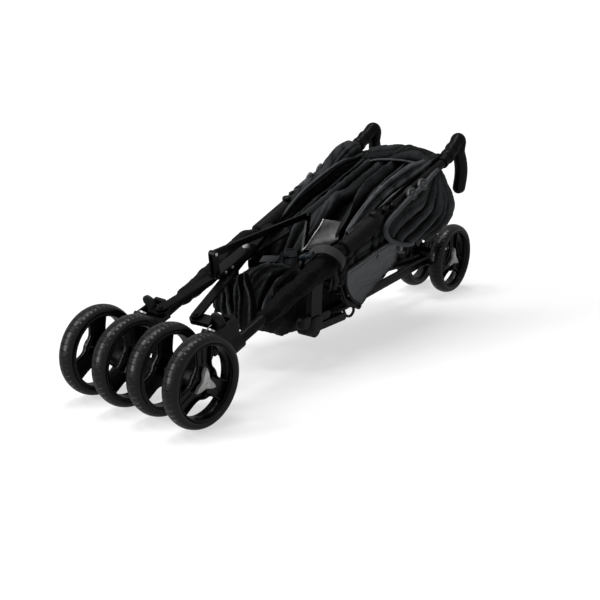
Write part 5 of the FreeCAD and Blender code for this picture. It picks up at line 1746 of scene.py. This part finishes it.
@dataclass
class Fittings:
    """Mouldings of one side: bracket pods, wire hook, canopy clamp and the swivel lock's tongue."""

    name: str
    side: float
    palette: Palette

    def settle(self, item: bpy.types.Object, stands_for: Sequence[str] = ()) -> None:
        """Dress a black moulding and hang it on the frame."""
        settle(item, self.palette.nylon, f"{self.name}_frame", stands_for)

    def pod(self, index: int, middle: Triple, size: Triple) -> None:
        """Rounded pod on the bracket.

        Args:
            index: Its number.
            middle: Its middle in millimetres.
            size: Half sizes in millimetres.
        """
        rows = []
        for step in range(15):
            turn = math.pi * (step + 0.02) / 14.04
            ring = math.sin(turn) ** 0.4
            x = middle[0] * self.side + size[0] * rounded(turn, 0.5)[0]
            row = []
            for k in range(32):
                across, up = rounded(math.tau * k / 32)
                row.append(Vector((x, middle[1] + size[1] * ring * across,
                                   middle[2] + size[2] * ring * up)) * MM)
            rows.append(row)
        draft = Draft(f"{self.name}_bracket_pod_{index}").grid(rows, around=True, caps=True)
        self.settle(draft.close(smooth_angle=50))

    def hook(self) -> None:
        """Bent wire hook behind the bracket."""
        line = smooth_mm(((92, -66, 141), (92, -55, 140), (92, -47, 124), (92, -28, 98), (92, -8, 90),
                          (92, -2, 78), (92, -12, 70), (92, -28, 74), (92, -38, 86)), 8, self.side)
        self.settle(swept(f"{self.name}_wire_hook", line, lambda share: (0.0028, 0.0028), 14))

    def clamp(self) -> None:
        """Canopy clamp round the tube: two-step collar, short knob, and two lugs behind it."""
        centre, behind = 0.040, Vector((0, 1, 0))
        run = (tube_point(0.1, self.side) - tube_point(0.0, self.side)).normalized()
        collar = scaled([(0.0105, -17.0), (0.0138, -17.0), (0.0146, -15.5), (0.0146, -6.0), (0.0156, -5.0),
                         (0.0158, 5.0), (0.0146, 6.0), (0.0146, 15.5), (0.0138, 17.0), (0.0105, 17.0)], 1.0)
        knob = scaled([(0.01, 8), (7.5, 8), (8.6, 15), (8.8, 20), (7.8, 22.5), (5.0, 23.4), (4.4, 22.6),
                       (0.01, 22.4)])
        lug = scaled([(0.01, 10), (5.2, 10), (6.4, 13), (6.6, 17.5), (5.4, 20), (3.0, 20.6), (2.4, 19.6),
                      (0.01, 19.5)])
        pieces = ((collar, 40, centre, run, UP), (knob, 28, centre, Vector((0, -0.25, 1)), behind),
                  (lug, 20, 0.068, Vector((self.side * 0.5, -0.2, 1)), behind),
                  (lug, 20, 0.092, Vector((self.side * 0.9, -0.2, 1)), behind))
        parts = [Draft("clamp").lathe(profile, steps).close(
            smooth_angle=35, place=facing(tube_point(y, self.side), towards, beside))
            for profile, steps, y, towards, beside in pieces]
        self.settle(joined(f"{self.name}_tube_clamp", parts), [f"{self.name}_canopy_clamp"])

    def tongue(self) -> None:
        """S-shaped tongue of the swivel lock, with a swollen tip."""
        middle = 80.5 if self.side > 0 else -71.0
        steps, foot, height, behind, bow = 24, 115, 54.5, -411, 5.5
        rows = []
        for step in range(steps + 1):
            share = step / steps
            z = foot + height * share
            y = behind + bow * math.sin(share * 4.6 - 0.6)
            wide = 9.0 + 5.2 * step_up(0.3, 0.8, share)
            wide *= math.sqrt(max(0.02, 1 - max(0.0, (share - 0.8) / 0.2) ** 2))
            thick = 3.6 * math.sqrt(max(0.05, 1 - max(0.0, (share - 0.85) / 0.15) ** 2))
            row = []
            for k in range(24):
                across, up = rounded(math.tau * k / 24)
                across *= wide
                dip = 2.0 * (across / 12) ** 2 if share > 0.7 else 0.0
                row.append(Vector((middle + across, y + up * thick, z - dip)) * MM)
            rows.append(row)
        draft = Draft(f"{self.name}_swivel_tongue").grid(rows, around=True, caps=True)
        settle(draft.close(smooth_angle=50), self.palette.pebble, f"{self.name}_swivel_lock",
               [f"{self.name}_swivel_lock_lever"])

    def build(self) -> None:
        """Build every fitting."""
        self.pod(1, (97, -182, 98), (9, 16, 12))
        self.pod(2, (98, -150, 90), (11, 19, 15))
        self.pod(3, (95, -118, 96), (7, 22, 9))
        self.hook()
        self.clamp()
        self.tongue()


# ------------------------------------------------------------------ handles

@dataclass
class Handle:
    """Handle of one main tube: neck with its collar, swollen elbow, and hanging grip."""

    name: str
    side: float
    palette: Palette

    def neck(self) -> None:
        """Neck, collar and elbow in one moulding."""
        line = smooth_mm(((110.9, 292, 335), (110.4, 308, 343), (109.6, 326, 353), (108.6, 343, 363),
                          (107.4, 357, 371.5), (106.4, 366, 374), (105.8, 371, 368), (105.6, 373, 356),
                          (105.5, 374.5, 349)), 10, self.side)
        stops = ((0.0, 12.4), (0.10, 12.6), (0.13, 12.7), (0.14, 15.2), (0.20, 15.6), (0.215, 14.4),
                 (0.27, 14.0), (0.30, 14.3), (0.31, 15.4), (0.36, 15.4), (0.37, 13.2), (0.46, 13.4),
                 (0.56, 15.4), (0.66, 16.6), (0.74, 16.4), (0.84, 14.6), (0.94, 13.6), (1.0, 13.2))

        def radius(share: float) -> tuple[float, float]:
            """Half width and half height at a share of the length."""
            (a, r0), (b, r1) = next(pair for pair in zip(stops, stops[1:]) if share <= pair[1][0])
            r = r0 + (r1 - r0) * (share - a) / (b - a)
            swell = step_up(0.45, 0.7, share) * (1 - step_up(0.82, 0.98, share))
            return r * MM, (r + 1.8 * swell) * MM
        neck = swept(f"{self.name}_handle_neck", line, radius, 40, smooth_angle=38)
        settle(neck, self.palette.handle, f"{self.name}_frame", [f"{self.name}_handle"])

    def grip(self) -> None:
        """Soft grip with a beaded top and a rounded end."""
        s, thick, crowd = self.side, 12.6, 1.7
        top, low = Vector((s * 105.5, 372.5, 360)) * MM, Vector((s * 106, 387.0, 257.5)) * MM
        bulge = Vector((s * 0.35, 0.95, 0)) * 8 * MM
        line = []
        for k in range(61):
            place = 1 - (1 - k / 60) ** crowd
            line.append(top.lerp(low, place) + bulge * math.sin(math.pi * place) ** 1.5)

        def radius(share: float) -> tuple[float, float]:
            """Half width and half height at a share of the points."""
            place = 1 - (1 - share) ** crowd
            start = 1 - thick * MM / (low - top).length
            tip = max(0.0, (place - start) / (1 - start))
            r = (thick + 1.0 * step_up(0.05, 0.3, place)) * math.sqrt(max(0.0004, 1 - tip ** 2))
            if 0.05 < place < 0.09:
                r += 0.9
            r += 0.35 * math.sin(place * math.pi)
            return r * MM, (r + 0.5 * (1 - tip)) * MM
        grip = swept(f"{self.name}_hand_grip", line, radius, 36, smooth_angle=50)
        settle(grip, self.palette.grip, f"{self.name}_frame", [f"{self.name}_grip"])

    def build(self) -> None:
        """Build the handle."""
        self.neck()
        self.grip()


# ------------------------------------------------------------------ studio

@dataclass
class Studio:
    """White floor and surroundings, wide suns and the camera."""

    camera_at: Triple = (1.1958, -1.8025, 0.7235)
    yaw: float = 34.37
    pitch: float = 16.57
    roll: float = 1.97
    lens: float = 67.6
    fill: float = 0.07

    def camera(self) -> None:
        """Place the camera."""
        yaw, pitch, roll = (math.radians(v) for v in (self.yaw, self.pitch, self.roll))
        ahead = Vector((-math.sin(yaw) * math.cos(pitch), math.cos(yaw) * math.cos(pitch), -math.sin(pitch)))
        right = ahead.cross(UP).normalized()
        up = right.cross(ahead)
        across = right * math.cos(roll) + up * math.sin(roll)
        above = up * math.cos(roll) - right * math.sin(roll)
        data = bpy.data.cameras.new("camera")
        data.sensor_width = 36.0
        data.lens = self.lens
        item = shown("camera", data)
        turn = Matrix((across, above, -ahead)).transposed()
        item.matrix_world = Matrix.Translation(self.camera_at) @ turn.to_4x4()
        bpy.context.scene.camera = item

    @staticmethod
    def in_sight(graph: Graph) -> Signal:
        """One where the camera looks, straight or through a reflection or glass, else zero."""
        camera, glossy, through = (graph.node("ShaderNodeLightPath", output=f"Is {kind} Ray")
                                   for kind in ("Camera", "Glossy", "Transmission"))
        return (camera + glossy + through).ramp(0.0, 1.0)

    def world(self) -> None:
        """White behind everything that the camera or a reflection sees, softer as a light."""
        graph = Graph("studio", world=True)
        light, white = (graph.node("ShaderNodeBackground", {"Color": (1, 1, 1), "Strength": power})
                        for power in (self.fill, 1.0))
        mix = graph.node("ShaderNodeMixShader", {0: self.in_sight(graph), 1: light, 2: white})
        graph.node("ShaderNodeOutputWorld", {"Surface": mix})
        bpy.context.scene.world = graph.owner

    def sun(self, name: str, towards: Triple, spread: float, power: float) -> None:
        """Add a sun with a wide disc, for soft edges.

        Args:
            name: Its name.
            towards: Where it stands, seen from the stroller.
            spread: Its angular size in degrees.
            power: Its strength.
        """
        data = bpy.data.lights.new(name, "SUN")
        data.angle = math.radians(spread)
        data.energy = power
        shown(name, data).rotation_euler = (-Vector(towards)).to_track_quat("-Z", "Y").to_euler()

    def floor(self) -> None:
        """A wide floor that reads white to the camera and keeps the object's shadow."""
        whitened, reach, level = 0.62, 40.0, -0.0002
        graph = Graph("studio_floor")
        matt = graph.node("ShaderNodeBsdfDiffuse", {"Color": (0.92, 0.92, 0.92)})
        glow = graph.node("ShaderNodeEmission", {"Color": (1.0, 1.0, 1.0), "Strength": 1.0})
        mixed = graph.node("ShaderNodeMixShader",
                           {0: self.in_sight(graph) * whitened, 1: matt, 2: glow})
        graph.node("ShaderNodeOutputMaterial", {"Surface": mixed})
        item = Draft("floor").grid([[Vector((x, y, level)) for x in (-reach, reach)]
                                    for y in (-reach, reach)]).close()
        item.data.materials.append(graph.owner)

    def build(self) -> None:
        """Build the studio."""
        self.camera()
        self.world()
        self.floor()
        for lamp in (("left_low", (-0.53, -0.82, 0.10), 20.0, 1.7),
                     ("left_middle", (-0.53, -0.66, 0.46), 20.0, 1.6),
                     ("left_high", (-0.46, -0.30, 0.85), 20.0, 1.3), ("key", (-0.14, 0.08, 1.0), 26.0, 2.0)):
            self.sun(*lamp)
        bpy.context.scene.view_settings.view_transform = "Standard"


def main() -> None:
    """Build the stroller and its studio."""
    logging.basicConfig(level=logging.INFO, format="%(message)s")
    palette = Palette()
    repeat = Repeat()
    along = RepeatAlong()
    Studio().build()
    Frame(palette).build()
    RunningGear(palette, repeat).build()
    for name, side in SIDES:
        Handle(name, side, palette).build()
        Canopy(name, side, palette, along).build()
    CanopyRear(palette).build()
    FarWrap(palette).build()
    Seat(palette, along).build()
    for name, side in SIDES:
        TubeCloth(name, side, palette).build()
        Fittings(name, side, palette).build()
    Basket(palette, along).build()
    Straps(palette).build()


if __name__ == "__main__":
    main()
